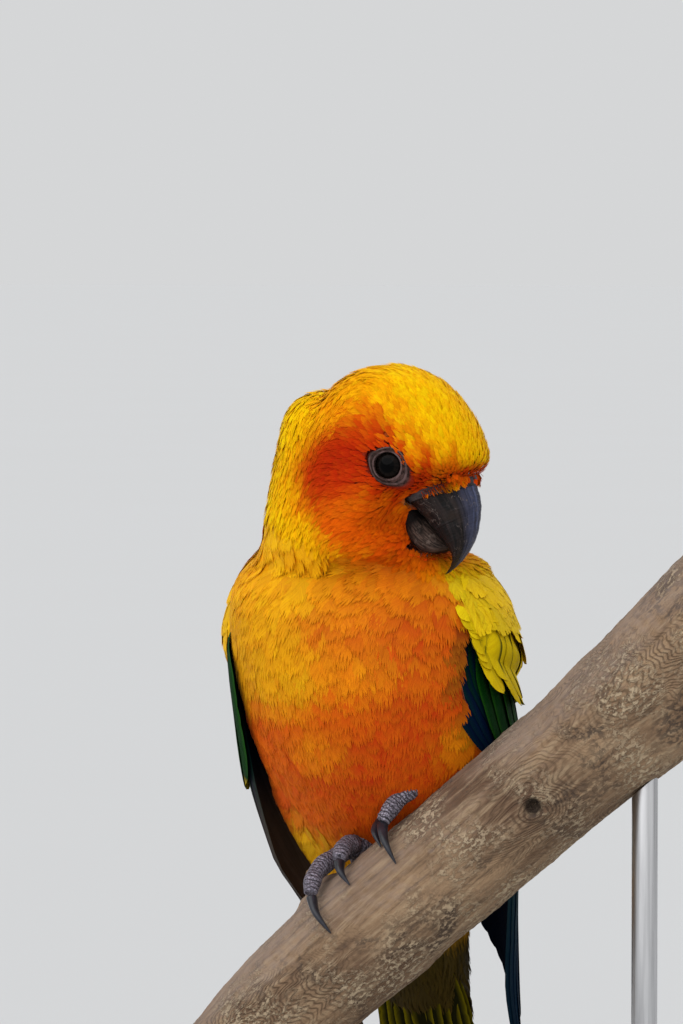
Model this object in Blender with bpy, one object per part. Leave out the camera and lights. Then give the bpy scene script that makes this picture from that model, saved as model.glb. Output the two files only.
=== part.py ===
"""A life-size sun conure on a cut length of branch, held by a plain display stand.

The bird's body faces -Y and its head is turned to its left, towards +X. The origin is on the
floor, under the middle of the body. Sizes below are in millimetres and angles in degrees.
"""

import math

import bpy
import numpy as np
from mathutils import Matrix, Vector

MM = 0.001
GAP = 0.35
PERCH_ROOM = 0.45

# Driving sizes
TAIL_LENGTH = 128.0
TAIL_SLOPE = 27.0
TAIL_ROOT = np.array([0.0, 15.6, 128.0])
TAIL_TOP = 100.0
HEAD_TURN = 80.0
HEAD_CENTRE = np.array([6.4, -6.8, 214.8])
NECK_FROM = 191.0
HEAD_FROM = 201.5
CHIN_DROP = 6.5
FACE_PINCH = 0.2
WING_TOP = 190.2
CROWN = 236.9
PERCH_SLOPE = 40.5
PERCH_CENTRE = np.array([0.0, -6.0, 103.6])
PERCH_START, PERCH_END = -50.0, 125.0
PERCH_BEND = 1.6
EYE_RADIUS = 4.7
BASE_SIZE = np.array([150.0, 112.0, 8.0])
BASE_CENTRE = np.array([14.0, 11.0])
BASE_BEVEL = 1.5
ROD_RADIUS = 3.0
ROD_PLACES = {"stand_rod_low": -31.0, "stand_rod_high": 68.0}


# Scene and mesh helpers


def clear_scene():
    for obj in list(bpy.data.objects):
        bpy.data.objects.remove(obj)


def material(name, colour, roughness, metallic=0.0):
    made = bpy.data.materials.new(name)
    made.use_nodes = True
    shader = made.node_tree.nodes["Principled BSDF"]
    shader.inputs["Base Color"].default_value = (*colour, 1.0)
    shader.inputs["Roughness"].default_value = roughness
    shader.inputs["Metallic"].default_value = metallic
    made.diffuse_color = (*colour, 1.0)
    return made


def add_mesh(name, points, faces, finish=None, smooth=True):
    """A mesh object from points in millimetres."""
    mesh = bpy.data.meshes.new(name)
    mesh.from_pydata([tuple(float(c) * MM for c in p) for p in points], [], faces)
    mesh.update()
    obj = bpy.data.objects.new(name, mesh)
    bpy.context.scene.collection.objects.link(obj)
    if finish:
        mesh.materials.append(finish)
    if smooth:
        mesh.shade_smooth()
        mesh.set_sharp_from_angle(angle=math.radians(40))
    return obj


def join_union(base, pieces):
    """Fuses closed pieces into base by one union, and removes them."""
    group = bpy.data.collections.new(base.name + "_pieces")
    bpy.context.scene.collection.children.link(group)
    for piece in pieces:
        bpy.context.scene.collection.objects.unlink(piece)
        group.objects.link(piece)
    modifier = base.modifiers.new("join", "BOOLEAN")
    modifier.operation = "UNION"
    modifier.operand_type = "COLLECTION"
    modifier.collection = group
    modifier.solver = "MANIFOLD"
    apply_modifier(base)
    for piece in pieces:
        bpy.data.objects.remove(piece)
    bpy.data.collections.remove(group)
    keep_largest(base)


def cut(obj, cutters):
    """Takes closed cutters out of obj, and removes them."""
    for cutter in cutters:
        modifier = obj.modifiers.new("cut", "BOOLEAN")
        modifier.operation = "DIFFERENCE"
        modifier.object = cutter
        modifier.solver = "MANIFOLD"
        apply_modifier(obj)
        bpy.data.objects.remove(cutter)
    keep_largest(obj)


def apply_modifier(obj):
    graph = bpy.context.evaluated_depsgraph_get()
    graph.update()
    made = bpy.data.meshes.new_from_object(obj.evaluated_get(graph))
    obj.modifiers.clear()
    obj.data = made


def keep_largest(obj):
    """Leaves only the closed surface with the most volume."""
    mesh = obj.data
    owner = list(range(len(mesh.vertices)))

    def root(i):
        while owner[i] != i:
            owner[i] = owner[owner[i]]
            i = owner[i]
        return i

    for edge in mesh.edges:
        a, b = root(edge.vertices[0]), root(edge.vertices[1])
        owner[a] = b
    mesh.calc_loop_triangles()
    volumes = {}
    for tri in mesh.loop_triangles:
        a, b, c = (mesh.vertices[i].co for i in tri.vertices)
        key = root(tri.vertices[0])
        volumes[key] = volumes.get(key, 0.0) + a.dot(b.cross(c)) / 6
    if len(volumes) < 2:
        return
    best = max(volumes, key=volumes.get)
    points = [v.co / MM for v in mesh.vertices]
    kept = [i for i in range(len(points)) if root(i) == best]
    place = {old: new for new, old in enumerate(kept)}
    polygons = [p for p in mesh.polygons if root(p.vertices[0]) == best]
    faces = [tuple(place[i] for i in p.vertices) for p in polygons]
    finish = mesh.materials[0] if mesh.materials else None
    fresh = bpy.data.meshes.new(obj.name)
    fresh.from_pydata([tuple(points[i] * MM) for i in kept], [], faces)
    if finish:
        fresh.materials.append(finish)
    obj.data = fresh


def loft(rings):
    """Points and faces of a closed body through rings of the same number of points."""
    count = len(rings[0])
    points = [p for ring in rings for p in ring]
    faces = []
    for k in range(len(rings) - 1):
        for i in range(count):
            j = (i + 1) % count
            a, b = k * count + i, k * count + j
            faces.append((a, b, b + count))
            faces.append((a, b + count, a + count))
    ends = [(0, rings[0], True), ((len(rings) - 1) * count, rings[-1], False)]
    for start, ring, first in ends:
        points.append(np.mean(np.array(ring), axis=0))
        hub = len(points) - 1
        for i in range(count):
            j = (i + 1) % count
            faces.append((start + j, start + i, hub) if first else (start + i, start + j, hub))
    return facing_out(points, faces)


def facing_out(points, faces):
    """The same body, with its faces turned round where it is inside out."""
    p = np.array(points, float)
    f = np.array(faces)
    a, b, c = p[f[:, 0]], p[f[:, 1]], p[f[:, 2]]
    if np.einsum("ij,ij->i", a, np.cross(b, c)).sum() < 0:
        faces = [tuple(reversed(face)) for face in faces]
    return points, faces


def smooth_between(knots, values, at):
    """Values read from a smooth curve through the knots, one row for each knot."""
    knots = np.asarray(knots, float)
    values = np.asarray(values, float)
    order = np.argsort(knots)
    knots, values = knots[order], values[order]
    at = np.clip(at, knots[0], knots[-1])
    i = int(np.clip(np.searchsorted(knots, at) - 1, 0, len(knots) - 2))
    step = knots[i + 1] - knots[i]
    t = (at - knots[i]) / step

    def slope(k):
        low, high = max(k - 1, 0), min(k + 1, len(knots) - 1)
        return (values[high] - values[low]) / (knots[high] - knots[low])

    t2, t3 = t * t, t * t * t
    return (
        (2 * t3 - 3 * t2 + 1) * values[i]
        + (t3 - 2 * t2 + t) * step * slope(i)
        + (-2 * t3 + 3 * t2) * values[i + 1]
        + (t3 - t2) * step * slope(i + 1)
    )


def step_between(low, high, at):
    t = min(max((at - low) / (high - low), 0.0), 1.0)
    return t * t * (3 - 2 * t)


def tube(path, radii, sides=8, start_side=(0, 0, 1)):
    """A closed tube through the path's points, with a radius for each."""
    path = [np.asarray(p, float) for p in path]
    rings = []
    for k, centre in enumerate(path):
        ahead = path[min(k + 1, len(path) - 1)] - path[max(k - 1, 0)]
        ahead = ahead / np.linalg.norm(ahead)
        side = np.asarray(start_side, float) - ahead * np.dot(start_side, ahead)
        side = side / np.linalg.norm(side)
        other = np.cross(ahead, side)
        turn = [2 * math.pi * i / sides for i in range(sides)]
        rings.append([centre + radii[k] * (math.cos(a) * side + math.sin(a) * other) for a in turn])
    return loft(rings)


# The body's form, as level rings from the tail end to the crown


class Rings:
    """A stack of level, rounded rings. Angle 0 is the front, and angles grow towards +X."""

    def __init__(self, rows):
        # Each row: height, centre x, centre y, half width, front depth, back depth, turn
        self.rows = np.array(rows, float)

    def centre(self, height):
        return smooth_between(self.rows[:, 0], self.rows[:, 1:3], height)

    def reach(self, angle, height):
        """The distance from the ring's centre to its edge."""
        _, _, _, side, front, back, turn = self.rows.T
        local = np.radians(angle - turn)
        depth = np.where(np.cos(local) > 0, front, back)
        squared = 1 / ((np.sin(local) / side) ** 2 + (np.cos(local) / depth) ** 2)
        return math.sqrt(max(float(smooth_between(self.rows[:, 0], squared, height)), 1e-4))

    def point(self, angle, height, out=0.0):
        x, y = self.centre(height)
        far = self.reach(angle, height) + out
        a = math.radians(angle)
        return np.array([x + far * math.sin(a), y - far * math.cos(a), height])


BODY = Rings(
    [
        (94.0, 0.0, 32.5, 8.0, 6.0, 7.0, 0.0),
        (100.0, 0.0, 29.5, 13.0, 10.0, 11.5, 0.0),
        (108.0, 0.0, 25.5, 18.0, 12.5, 16.0, 0.0),
        (116.0, 0.0, 21.5, 23.0, 15.0, 21.0, 0.0),
        (125.0, 0.0, 17.0, 27.0, 19.5, 24.0, 0.0),
        (134.0, 0.0, 12.8, 29.7, 24.0, 26.0, 0.0),
        (143.0, 0.0, 8.5, 32.7, 27.0, 27.5, 0.0),
        (154.0, 0.0, 4.0, 34.6, 29.0, 27.0, 0.0),
        (164.0, 0.0, 1.0, 35.2, 29.5, 26.5, 0.0),
        (177.0, -2.2, 0.0, 34.2, 27.5, 26.0, 0.0),
        (186.0, -3.6, 3.5, 33.0, 25.0, 22.0, 0.0),
        (191.0, -3.4, 4.5, 30.0, 22.0, 21.0, 0.0),
        (195.0, 0.0, -2.0, 21.5, 18.5, 29.0, HEAD_TURN),
        (201.0, 3.2, -6.0, 18.0, 12.4, 31.0, HEAD_TURN),
        (207.0, 5.2, -6.8, 17.2, 14.6, 31.6, HEAD_TURN),
        (214.8, 6.4, -6.8, 16.4, 25.4, 31.6, HEAD_TURN),
        (222.0, 6.4, -6.8, 15.6, 24.3, 28.8, HEAD_TURN),
        (229.0, 6.4, -6.8, 13.8, 19.3, 24.2, HEAD_TURN),
        (233.0, 6.9, -6.8, 11.4, 14.4, 15.5, HEAD_TURN),
        (235.6, 7.9, -6.8, 7.0, 8.5, 8.5, HEAD_TURN),
        (237.2, 8.4, -6.8, 0.01, 0.01, 0.01, HEAD_TURN),
    ]
)

# The smooth form that the folded wings lie on. It runs past the body to the wing tips.
FLANK = Rings(
    [
        (52.0, 0.0, 52.5, 18.6, 8.0, 8.0, 0.0),
        (70.0, 0.0, 44.0, 20.0, 9.0, 9.5, 0.0),
        (87.0, 0.0, 35.5, 21.8, 13.0, 13.0, 0.0),
        (104.0, 0.0, 27.0, 24.2, 16.0, 16.0, 0.0),
        (120.0, 0.0, 20.0, 26.6, 19.0, 20.5, 0.0),
        (134.0, 0.0, 13.0, 28.6, 22.0, 22.0, 0.0),
        (143.0, 0.0, 8.5, 29.4, 23.5, 23.0, 0.0),
        (154.0, -0.4, 4.0, 30.0, 24.4, 22.6, 0.0),
        (164.0, -0.8, 1.0, 29.6, 24.0, 21.4, 0.0),
        (177.0, -2.1, 0.5, 27.6, 21.8, 19.0, 0.0),
        (186.0, -3.5, 3.5, 25.6, 19.0, 17.0, 0.0),
        (195.0, -4.0, 5.0, 21.4, 16.0, 15.0, 0.0),
    ]
)


# Folded wings, drawn on the flank by an angle round the body and a height

FRONT_EDGE = [(52, 96), (70, 92), (87, 86), (104, 84), (120, 82), (134, 80), (142, 76)]
FRONT_EDGE += [(150, 66), (160, 58), (172, 54), (182, 54), (190, 60), (198, 76)]
BACK_EDGE = [(52, 104), (87, 128), (110, 150), (130, 160), (150, 160), (165, 155)]
BACK_EDGE += [(180, 145), (190, 130), (198, 108)]
LEFT_BACK, RIGHT_AHEAD = 7.0, 12.0


def edge_at(edge, height):
    rows = np.array(edge, float)
    return float(smooth_between(rows[:, 0], rows[:, 1], height))


def front_edge(height, side):
    """The angle of a folded wing's front edge: the right wing's reaches further round the belly."""
    shift = LEFT_BACK if side > 0 else -RIGHT_AHEAD * (1 - step_between(140, 154, height))
    return edge_at(FRONT_EDGE, height) + shift * step_between(98, 112, height)


def wing_point(side, across, height, out):
    """A point on a wing. Across runs from 0 at the front edge to 1 at the back edge."""
    front = front_edge(height, side)
    angle = front + across * (edge_at(BACK_EDGE, height) - front)
    return FLANK.point(side * angle, height, out)


def shell(surface, across_count, along_count):
    """A closed sheet with thickness, its two faces split into triangles alike."""
    top, bottom, points, faces = [], [], [], []
    for k in range(along_count + 1):
        for level, index in ((1, top), (0, bottom)):
            row = []
            for i in range(across_count + 1):
                points.append(surface(i / across_count, k / along_count, level))
                row.append(len(points) - 1)
            index.append(row)
    for k in range(along_count):
        for i in range(across_count):
            for index, flip in ((top, False), (bottom, True)):
                a, b = index[k][i], index[k][i + 1]
                c, d = index[k + 1][i + 1], index[k + 1][i]
                for tri in ((a, b, c), (a, c, d)):
                    faces.append(tuple(reversed(tri)) if flip else tri)
    rim = [(0, i) for i in range(across_count)]
    rim += [(k, across_count) for k in range(along_count)]
    rim += [(along_count, i) for i in range(across_count, 0, -1)]
    rim += [(k, 0) for k in range(along_count, 0, -1)]
    for n, (k, i) in enumerate(rim):
        k2, i2 = rim[(n + 1) % len(rim)]
        a, b = top[k][i], top[k2][i2]
        c, d = bottom[k2][i2], bottom[k][i]
        faces += [(b, a, d), (b, d, c)]
    return facing_out(points, faces)


def outline(along, root_share=0.55, tip_share=0.14):
    """A feather's half width along its length, as a share of its widest."""
    rise = root_share + (1 - root_share) * math.sin(min(along / 0.45, 1.0) * math.pi / 2)
    fall = math.sqrt(max(1 - max((along - 0.72) / 0.28, 0.0) ** 2, 0.0))
    return rise * (tip_share + (1 - tip_share) * fall)


VANE_THICK = 0.5
WING_TILT = -1.2
SEGMENT = 13.0
SEAT_BOTTOM = 96.0
SEAT_DEEPER = 0.35
SEAT_MARGIN = (1.5, 7.0)

# Each tier: count, first and last root, first and last tip, widest, height off the flank, lift, stack
WING_TIERS = {
    "primary": (5, (0.16, 164), (0.42, 160), (0.10, 58), (0.85, 100), 7.4, 1.5, -0.2, 0.4),
    "secondary": (6, (0.26, 171), (0.88, 169), (0.36, 112), (0.90, 122), 8.0, 4.0, -0.3, 0.0),
    "greater": (6, (0.14, 178), (0.86, 176), (0.17, 150), (0.89, 146), 9.8, 5.9, -1.0, 0.0),
    "median": (5, (0.16, 184), (0.84, 183), (0.14, 168), (0.88, 163), 10.4, 7.8, -1.4, 0.0),
}


def wing_vane(name, side, root, tip, width, out, lift):
    """One feather on a wing, from (across, height) to (across, height), its front edge raised."""

    def surface(across, along, level):
        a = root[0] + (tip[0] - root[0]) * along
        height = root[1] + (tip[1] - root[1]) * along
        middle = front_edge(height, side) * (1 - a) + edge_at(BACK_EDGE, height) * a
        half = width / 2 * outline(along, 0.3)
        turn = math.degrees(half / FLANK.reach(side * middle, height)) * (2 * across - 1)
        tilt = WING_TILT * (across - 0.5)
        return FLANK.point(side * (middle + turn), height, out + lift * along + tilt + VANE_THICK * level)

    segments = max(3, round((root[1] - tip[1]) / SEGMENT))
    points, faces = shell(surface, 1, segments)
    return add_mesh(name, points, faces)


# The wing's core: how thick it is at each height, thinning down over the feathers' roots
WING_CORE = [(148, 0.7), (158, 2.0), (167, 4.3), (175, 6.4), (182, 8.2), (187, 8.6), (191, 7.4)]


def wing_core(across, height):
    rounded = (max(1 - (2 * across - 1) ** 4, 0.0)) ** 0.5
    return 0.6 + (edge_at(WING_CORE, height) - 0.6) * rounded


def wing_seat(side):
    """The room for a folded wing in the body's side, open at the top and to the outside."""

    def surface(across, along, level):
        height = NECK_FROM + 4 - along * (NECK_FROM + 4 - SEAT_BOTTOM)
        front = front_edge(height, side) - SEAT_MARGIN[0]
        angle = front + across * (edge_at(BACK_EDGE, height) + SEAT_MARGIN[1] - front)
        return FLANK.point(side * angle, height, 16 * level - SEAT_DEEPER)

    return add_mesh("seat", *shell(surface, 10, 14))


def make_wing(name, side, finish):
    def core(across, along, level):
        height = WING_TOP - along * (WING_TOP - WING_CORE[0][0])
        return wing_point(side, across, height, GAP + level * wing_core(across, height))

    points, faces = shell(core, 8, 6)
    wing = add_mesh(name, points, faces, finish)
    vanes = []
    for tier, (count, root0, root1, tip0, tip1, width, out, lift, stack) in WING_TIERS.items():
        for i in range(count):
            share = i / (count - 1)
            root = [root0[k] + (root1[k] - root0[k]) * share for k in range(2)]
            tip = [tip0[k] + (tip1[k] - tip0[k]) * share for k in range(2)]
            vanes.append(wing_vane(f"{name}_{tier}_{i}", side, root, tip, width, out, lift + stack * i))
    join_union(wing, vanes)
    if side > 0:
        cut(wing, [perch_body("clear", GAP)] + bill_seats())


# Tail, in its own frame: along it, across it, and off its upper face


def tail_frame():
    slope = math.radians(TAIL_SLOPE)
    along = np.array([0.0, math.sin(slope), -math.cos(slope)])
    up = np.array([0.0, math.cos(slope), math.sin(slope)])
    return along, np.array([1.0, 0.0, 0.0]), up


def tail_point(distance, across, height):
    along, side, up = tail_frame()
    return TAIL_ROOT + along * distance + side * across + up * height


def tail_vane(name, side, start, length, root_across, tip_across, width, height, drop):
    def surface(across, t, level):
        middle = root_across + (tip_across - root_across) * t
        half = width / 2 * outline(t, 0.5, 0.2)
        raised = height + drop * t + VANE_THICK * level
        return tail_point(start + length * t, side * (middle + (2 * across - 1) * half), raised)

    points, faces = shell(surface, 1, 5)
    return add_mesh(name, points, faces)


TAIL_START = 34.0
TAIL_PAIRS = 6
RECTRIX_WIDTH = 8.4
RECTRIX_STEP = 0.9

# Coverts over and under the tail's root: count, length, spread, height off the tail, drop
TAIL_COVERTS = [
    (4, 36, 5.5, -5.6, 0.4),
    (3, 26, 3.8, -6.9, 0.4),
    (4, 28, 5.5, 3.0, -0.4),
    (3, 20, 4.0, 4.2, -0.4),
]
COVERT_STEP = 0.9
COVERT_WIDTH = 7.6


def tail_core():
    """From the rump's level end to a flat wedge among the feathers."""
    rings = [body_ring(TAIL_TOP - GAP, 16)]
    for k, (half_width, half_depth) in enumerate([(11.2, 8.0), (10.2, 5.0), (9.0, 2.2)]):
        ring = []
        for i in range(16):
            a = 2 * math.pi * (i / 16) - math.pi / 2
            spot = tail_point(38.0 + 9 * k, half_width * math.cos(a), -1.2 + half_depth * math.sin(a))
            ring.append(spot)
        rings.append(ring)
    return loft(rings)


def make_tail(finish):
    points, faces = tail_core()
    tail = add_mesh("tail", points, faces, finish)
    vanes = []
    for i in range(TAIL_PAIRS):
        share = i / (TAIL_PAIRS - 1)
        length = TAIL_LENGTH * (1 - 0.42 * share ** 1.2) - TAIL_START - 4
        reach_out = RECTRIX_WIDTH / 2 + 0.3 + 4.9 * share if i else 2.6
        for side in (-1, 1):
            height = 1.4 - RECTRIX_STEP * i - (RECTRIX_STEP if side < 0 or i else 0.0)
            vanes.append(tail_vane(f"rectrix_{i}_{side}", side, TAIL_START + 4, length,
                                   0.7 * reach_out, reach_out, RECTRIX_WIDTH, height, -0.4))
    for row, (count, length, spread, height, drop) in enumerate(TAIL_COVERTS):
        for i in range(count):
            across = spread * (2 * i / (count - 1) - 1)
            step = COVERT_STEP if i % 2 and row % 2 == 0 else 0.0
            lift = height - 0.12 * abs(across) + math.copysign(step, height)
            reach = length - 0.3 * abs(across) ** 1.3
            vanes.append(tail_vane(f"covert_{row}_{i}", 1, TAIL_START + 3, reach,
                                   0.8 * across, 1.15 * across, COVERT_WIDTH, lift, drop))
    join_union(tail, vanes)


# Head: the eyes and the bill in the head's own frame, forward, to its right, and up


def head_point(forward, right, up):
    turn = math.radians(HEAD_TURN)
    ahead = np.array([math.sin(turn), -math.cos(turn), 0.0])
    across = np.array([-math.cos(turn), -math.sin(turn), 0.0])
    return HEAD_CENTRE + ahead * forward + across * right + np.array([0.0, 0.0, up])


EYE_FORWARD, EYE_UP, EYE_OUT = 6.4, 0.1, 10.2
LID_OUTER, LID_INNER, LID_PROUD = 4.9, 3.35, 5.4

NOSTRIL, NOSTRIL_RADIUS = (19.9, 3.3, -3.9), 0.85
CERE_PROUD = 0.5

# Upper bill, from its root to its tip: ridge, cutting edge and half width
UPPER_BILL = [
    ((20.2, -2.6), (3.8, -7.6), 6.0),
    ((22.4, -4.8), (5.6, -9.2), 6.3),
    ((23.4, -8.4), (10.6, -13.2), 5.8),
    ((23.2, -12.2), (14.0, -17.0), 5.0),
    ((22.4, -16.0), (16.1, -19.6), 4.0),
    ((20.6, -19.6), (16.9, -21.5), 2.8),
    ((18.1, -22.8), (16.2, -23.4), 1.5),
    ((15.2, -25.2), (14.6, -25.4), 0.45),
]


def bill_ring(ridge, edge, half_width, grow=0.0, sides=14):
    """An arched section, narrow at the ridge and full near the cutting edge."""
    ridge, edge = np.array(ridge, float), np.array(edge, float)
    middle, half = (ridge + edge) / 2, (ridge - edge) / 2
    size = np.linalg.norm(half)
    half = half * (size + grow) / size
    ring = []
    for i in range(sides):
        a = 2 * math.pi * i / sides
        up = math.cos(a)
        wide = (half_width + grow) * math.sin(a) * (1 - 0.22 * up) / 1.02
        spot = middle + half * up
        ring.append(head_point(spot[0], wide, spot[1]))
    return ring


def bill_rings(rows, grow=0.0):
    return [bill_ring(*row, grow) for row in rows]


# Lower bill, from its root: distance along it, depth and half width
LOWER_BILL = [
    (0.0, 4.4, 5.2),
    (3.5, 5.5, 5.6),
    (7.0, 5.6, 5.3),
    (10.0, 4.5, 4.4),
    (12.8, 2.3, 3.0),
]


def lower_bill_rings(grow=0.0, sides=12):
    """Sections across the lower bill, each hung below the upper one's cutting edge."""
    start = np.array([5.0, -8.9])
    ahead = np.array([0.659, -0.752])
    down = np.array([-0.752, -0.659])
    rings = []
    for distance, depth, half_width in LOWER_BILL:
        reach = distance + (grow if distance else -grow)
        top = start + ahead * reach + down * (GAP + 0.1 - grow)
        ring = []
        for i in range(sides):
            a = 2 * math.pi * i / sides
            fall = (depth / 2 + grow) * (1 - math.cos(a))
            spot = top + down * fall
            ring.append(head_point(spot[0], (half_width + grow) * math.sin(a), spot[1]))
        rings.append(ring)
    return rings


def make_bill(finish, cere_finish):
    points, faces = loft(bill_rings(UPPER_BILL[1:]))
    add_mesh("bill_upper", points, faces, finish)
    points, faces = loft(lower_bill_rings())
    add_mesh("bill_lower", points, faces, finish)
    back, root = UPPER_BILL[0], UPPER_BILL[1]
    near = [np.array(b) + (np.array(r) - np.array(b)) * 0.86 for b, r in zip(back[:2], root[:2])]
    points, faces = loft([bill_ring(*back, CERE_PROUD), bill_ring(*near, root[2], CERE_PROUD)])
    cere = add_mesh("cere", points, faces, cere_finish)
    pits = []
    for side in (-1, 1):
        spot = head_point(NOSTRIL[0], side * NOSTRIL[1], NOSTRIL[2])
        pits.append(ball("pit", spot, NOSTRIL_RADIUS, 8, 5))
    cut(cere, pits)


def ball(name, centre, radius, sides=16, rings=9, finish=None):
    rows = []
    for k in range(1, rings):
        a = math.pi * k / rings
        ring = []
        for i in range(sides):
            b = 2 * math.pi * i / sides
            spot = np.array([math.sin(a) * math.cos(b), math.sin(a) * math.sin(b), math.cos(a)])
            ring.append(np.asarray(centre) + radius * spot)
        rows.append(ring)
    points, faces = loft(rows)
    points[-2] = np.asarray(centre) + np.array([0, 0, radius])
    points[-1] = np.asarray(centre) - np.array([0, 0, radius])
    return add_mesh(name, points, faces, finish)


def eye_frame(side):
    """The eye's centre and its outward, forward and upward directions."""
    centre = head_point(EYE_FORWARD, side * EYE_OUT, EYE_UP)
    out = head_point(EYE_FORWARD + 0.16, side * (EYE_OUT + 1), EYE_UP + 0.02) - centre
    out = out / np.linalg.norm(out)
    up = np.array([0.0, 0.0, 1.0]) - out * out[2]
    up = up / np.linalg.norm(up)
    return centre, out, np.cross(up, out), up


def lid_ring(side, radius, height, count=16):
    centre, out, forward, up = eye_frame(side)
    ring = []
    for i in range(count):
        a = 2 * math.pi * i / count
        spot = forward * radius * math.cos(a) + up * radius * math.sin(a)
        ring.append(centre + out * height + spot)
    return ring


def ring_body(rings):
    """A closed ring from turned sections, with no caps."""
    count = len(rings[0])
    points = [p for ring in rings for p in ring]
    faces = []
    for k in range(len(rings)):
        n = (k + 1) % len(rings)
        for i in range(count):
            j = (i + 1) % count
            faces.append((k * count + i, k * count + j, n * count + j))
            faces.append((k * count + i, n * count + j, n * count + i))
    return facing_out(points, faces)


def make_eyes(finish, lid_finish):
    """Each eyeball and its lids: a bare ring that stands just proud of the face."""
    for label, side in (("L", -1), ("R", 1)):
        centre, _, _, _ = eye_frame(side)
        ball("eye_" + label, centre, EYE_RADIUS, 16, 9, finish)
        around = EYE_RADIUS + GAP
        hollow = [(around * math.cos(a), around * math.sin(a)) for a in (0.86, 0.66, 0.48)]
        hollow[0] = (LID_INNER, max(hollow[0][1], math.sqrt(around ** 2 - LID_INNER ** 2)))
        profile = [(LID_OUTER, hollow[2][1]), (LID_OUTER, 4.6)]
        profile += [(LID_OUTER - 0.5, LID_PROUD - 0.1), (LID_INNER + 0.4, LID_PROUD)]
        sections = [lid_ring(side, radius, height) for radius, height in profile + hollow]
        points, faces = ring_body(sections)
        add_mesh("eyelids_" + label, points, faces, lid_finish)


def eye_socket(side):
    wide = EYE_RADIUS + GAP + 0.05
    rings = [lid_ring(side, wide * math.cos(a), wide * math.sin(a)) for a in (-1.45, -1.0, -0.5)]
    rings += [lid_ring(side, wide, 0.0), lid_ring(side, wide, 9.0)]
    points, faces = loft(rings)
    return add_mesh("socket", points, faces)


def face_pinch(angle, level):
    """How much the face narrows on its way to the bill, as a share of its reach."""
    local = math.radians(angle - HEAD_TURN)
    if math.cos(local) < 0:
        return 0.0
    low = step_between(195, 202, level) * (1 - step_between(207, 216, level))
    return FACE_PINCH * low * math.sin(2 * local) ** 2


def body_ring(level, count, grow=0.0):
    """A ring round the body. On the neck it leans, lower at the chin and higher at the nape."""
    drop = CHIN_DROP * step_between(NECK_FROM, HEAD_FROM, level)
    drop *= 1 - step_between(HEAD_FROM, 228, level)
    ring = []
    for i in range(count):
        angle = 360 * i / count
        height = level - drop * math.cos(math.radians(angle - HEAD_TURN))
        pinch = face_pinch(angle, height) * BODY.reach(angle, height)
        ring.append(BODY.point(angle, height, grow - pinch))
    return ring


def make_head(finish):
    heights = [HEAD_FROM + (CROWN - HEAD_FROM) * math.sin(math.pi / 2 * k / 11) for k in range(12)]
    points, faces = loft([body_ring(h, 32) for h in heights])
    head = add_mesh("head", points, faces, finish)
    cut(head, [eye_socket(-1), eye_socket(1)] + bill_seats())


def make_neck(finish):
    heights = np.linspace(NECK_FROM, HEAD_FROM - GAP, 5)
    points, faces = loft([body_ring(h, 32) for h in heights])
    neck = add_mesh("neck", points, faces, finish)
    cut(neck, bill_seats())


def bill_seats():
    """The room that the bill and the cere take up, with the gap round them."""
    upper = [bill_ring(*row, CERE_PROUD + GAP) for row in UPPER_BILL[:2]]
    upper += bill_rings(UPPER_BILL[2:], GAP + 0.3)
    return [add_mesh("seat", *loft(upper)), add_mesh("seat", *loft(lower_bill_rings(GAP)))]


def make_torso(finish):
    heights = np.linspace(TAIL_TOP, NECK_FROM - GAP, 13)
    points, faces = loft([body_ring(h, 32) for h in heights])
    torso = add_mesh("torso", points, faces, finish)
    cutters = [wing_seat(1), wing_seat(-1), perch_body("clear", PERCH_ROOM)] + bill_seats()
    cutters += [stub("clear", *row, PERCH_ROOM) for row in STUBS[:1]]
    for side in ("L", "R"):
        cutters += leg_pieces(side, GAP)
        cutters += [claw_body("clear", row, GAP) for row in FEET[side]["claws"]]
    cut(torso, cutters)


# Perch: a cut length of branch, in its own frame of distance, angle and height off the bark


def perch_axis():
    slope = math.radians(PERCH_SLOPE)
    along = np.array([math.cos(slope), 0.0, math.sin(slope)])
    up = np.array([-math.sin(slope), 0.0, math.cos(slope)])
    return along, up, np.array([0.0, -1.0, 0.0])


def perch_radius(distance):
    knots = [-50, -25, 0, 40, 70, 90, 110, 125]
    radii = [12.6, 14.2, 14.9, 14.9, 15.2, 16.6, 18.6, 19.4]
    return float(smooth_between(knots, radii, distance))


def perch_point(distance, angle, height):
    along, up, front = perch_axis()
    a = math.radians(angle)
    uneven = 0.018 * math.sin(3 * a + distance / 23) + 0.012 * math.sin(5 * a - distance / 17)
    bark = perch_radius(distance) * (1 + uneven)
    axis = PERCH_CENTRE + along * distance - PERCH_BEND * step_between(-20, -50, distance) * up
    return axis + (bark + height) * (math.cos(a) * up + math.sin(a) * front)


def perch_body(name, grow, finish=None, sides=20):
    rings = []
    ends = (PERCH_START - grow, PERCH_END + grow)
    for distance in np.linspace(ends[0], ends[1], 16):
        rings.append([perch_point(distance, 360 * i / sides, grow) for i in range(sides)])
    points, faces = loft(rings)
    return add_mesh(name, points, faces, finish)


def stub(name, distance, angle, height, foot, top, grow=0.0):
    """A broken side twig: a short cone that leans along the branch."""
    path = [perch_point(distance + lean, angle, h) for lean, h in ((0, -5), (0, 1), (0.6, height))]
    points, faces = tube(path, [foot + grow, foot * 0.8 + grow, top + grow], 8, (0, 1, 0))
    return add_mesh(name, points, faces)


STUBS = [(-3.0, -14.0, 7.0, 4.6, 2.0), (103.0, 128.0, 2.2, 4.5, 3.0)]


def make_perch(finish):
    perch = perch_body("perch", 0.0, finish)
    join_union(perch, [stub("stub", *row) for row in STUBS])


# Feet: two toes forward and two back. Each point: distance, angle and height on the perch

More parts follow.
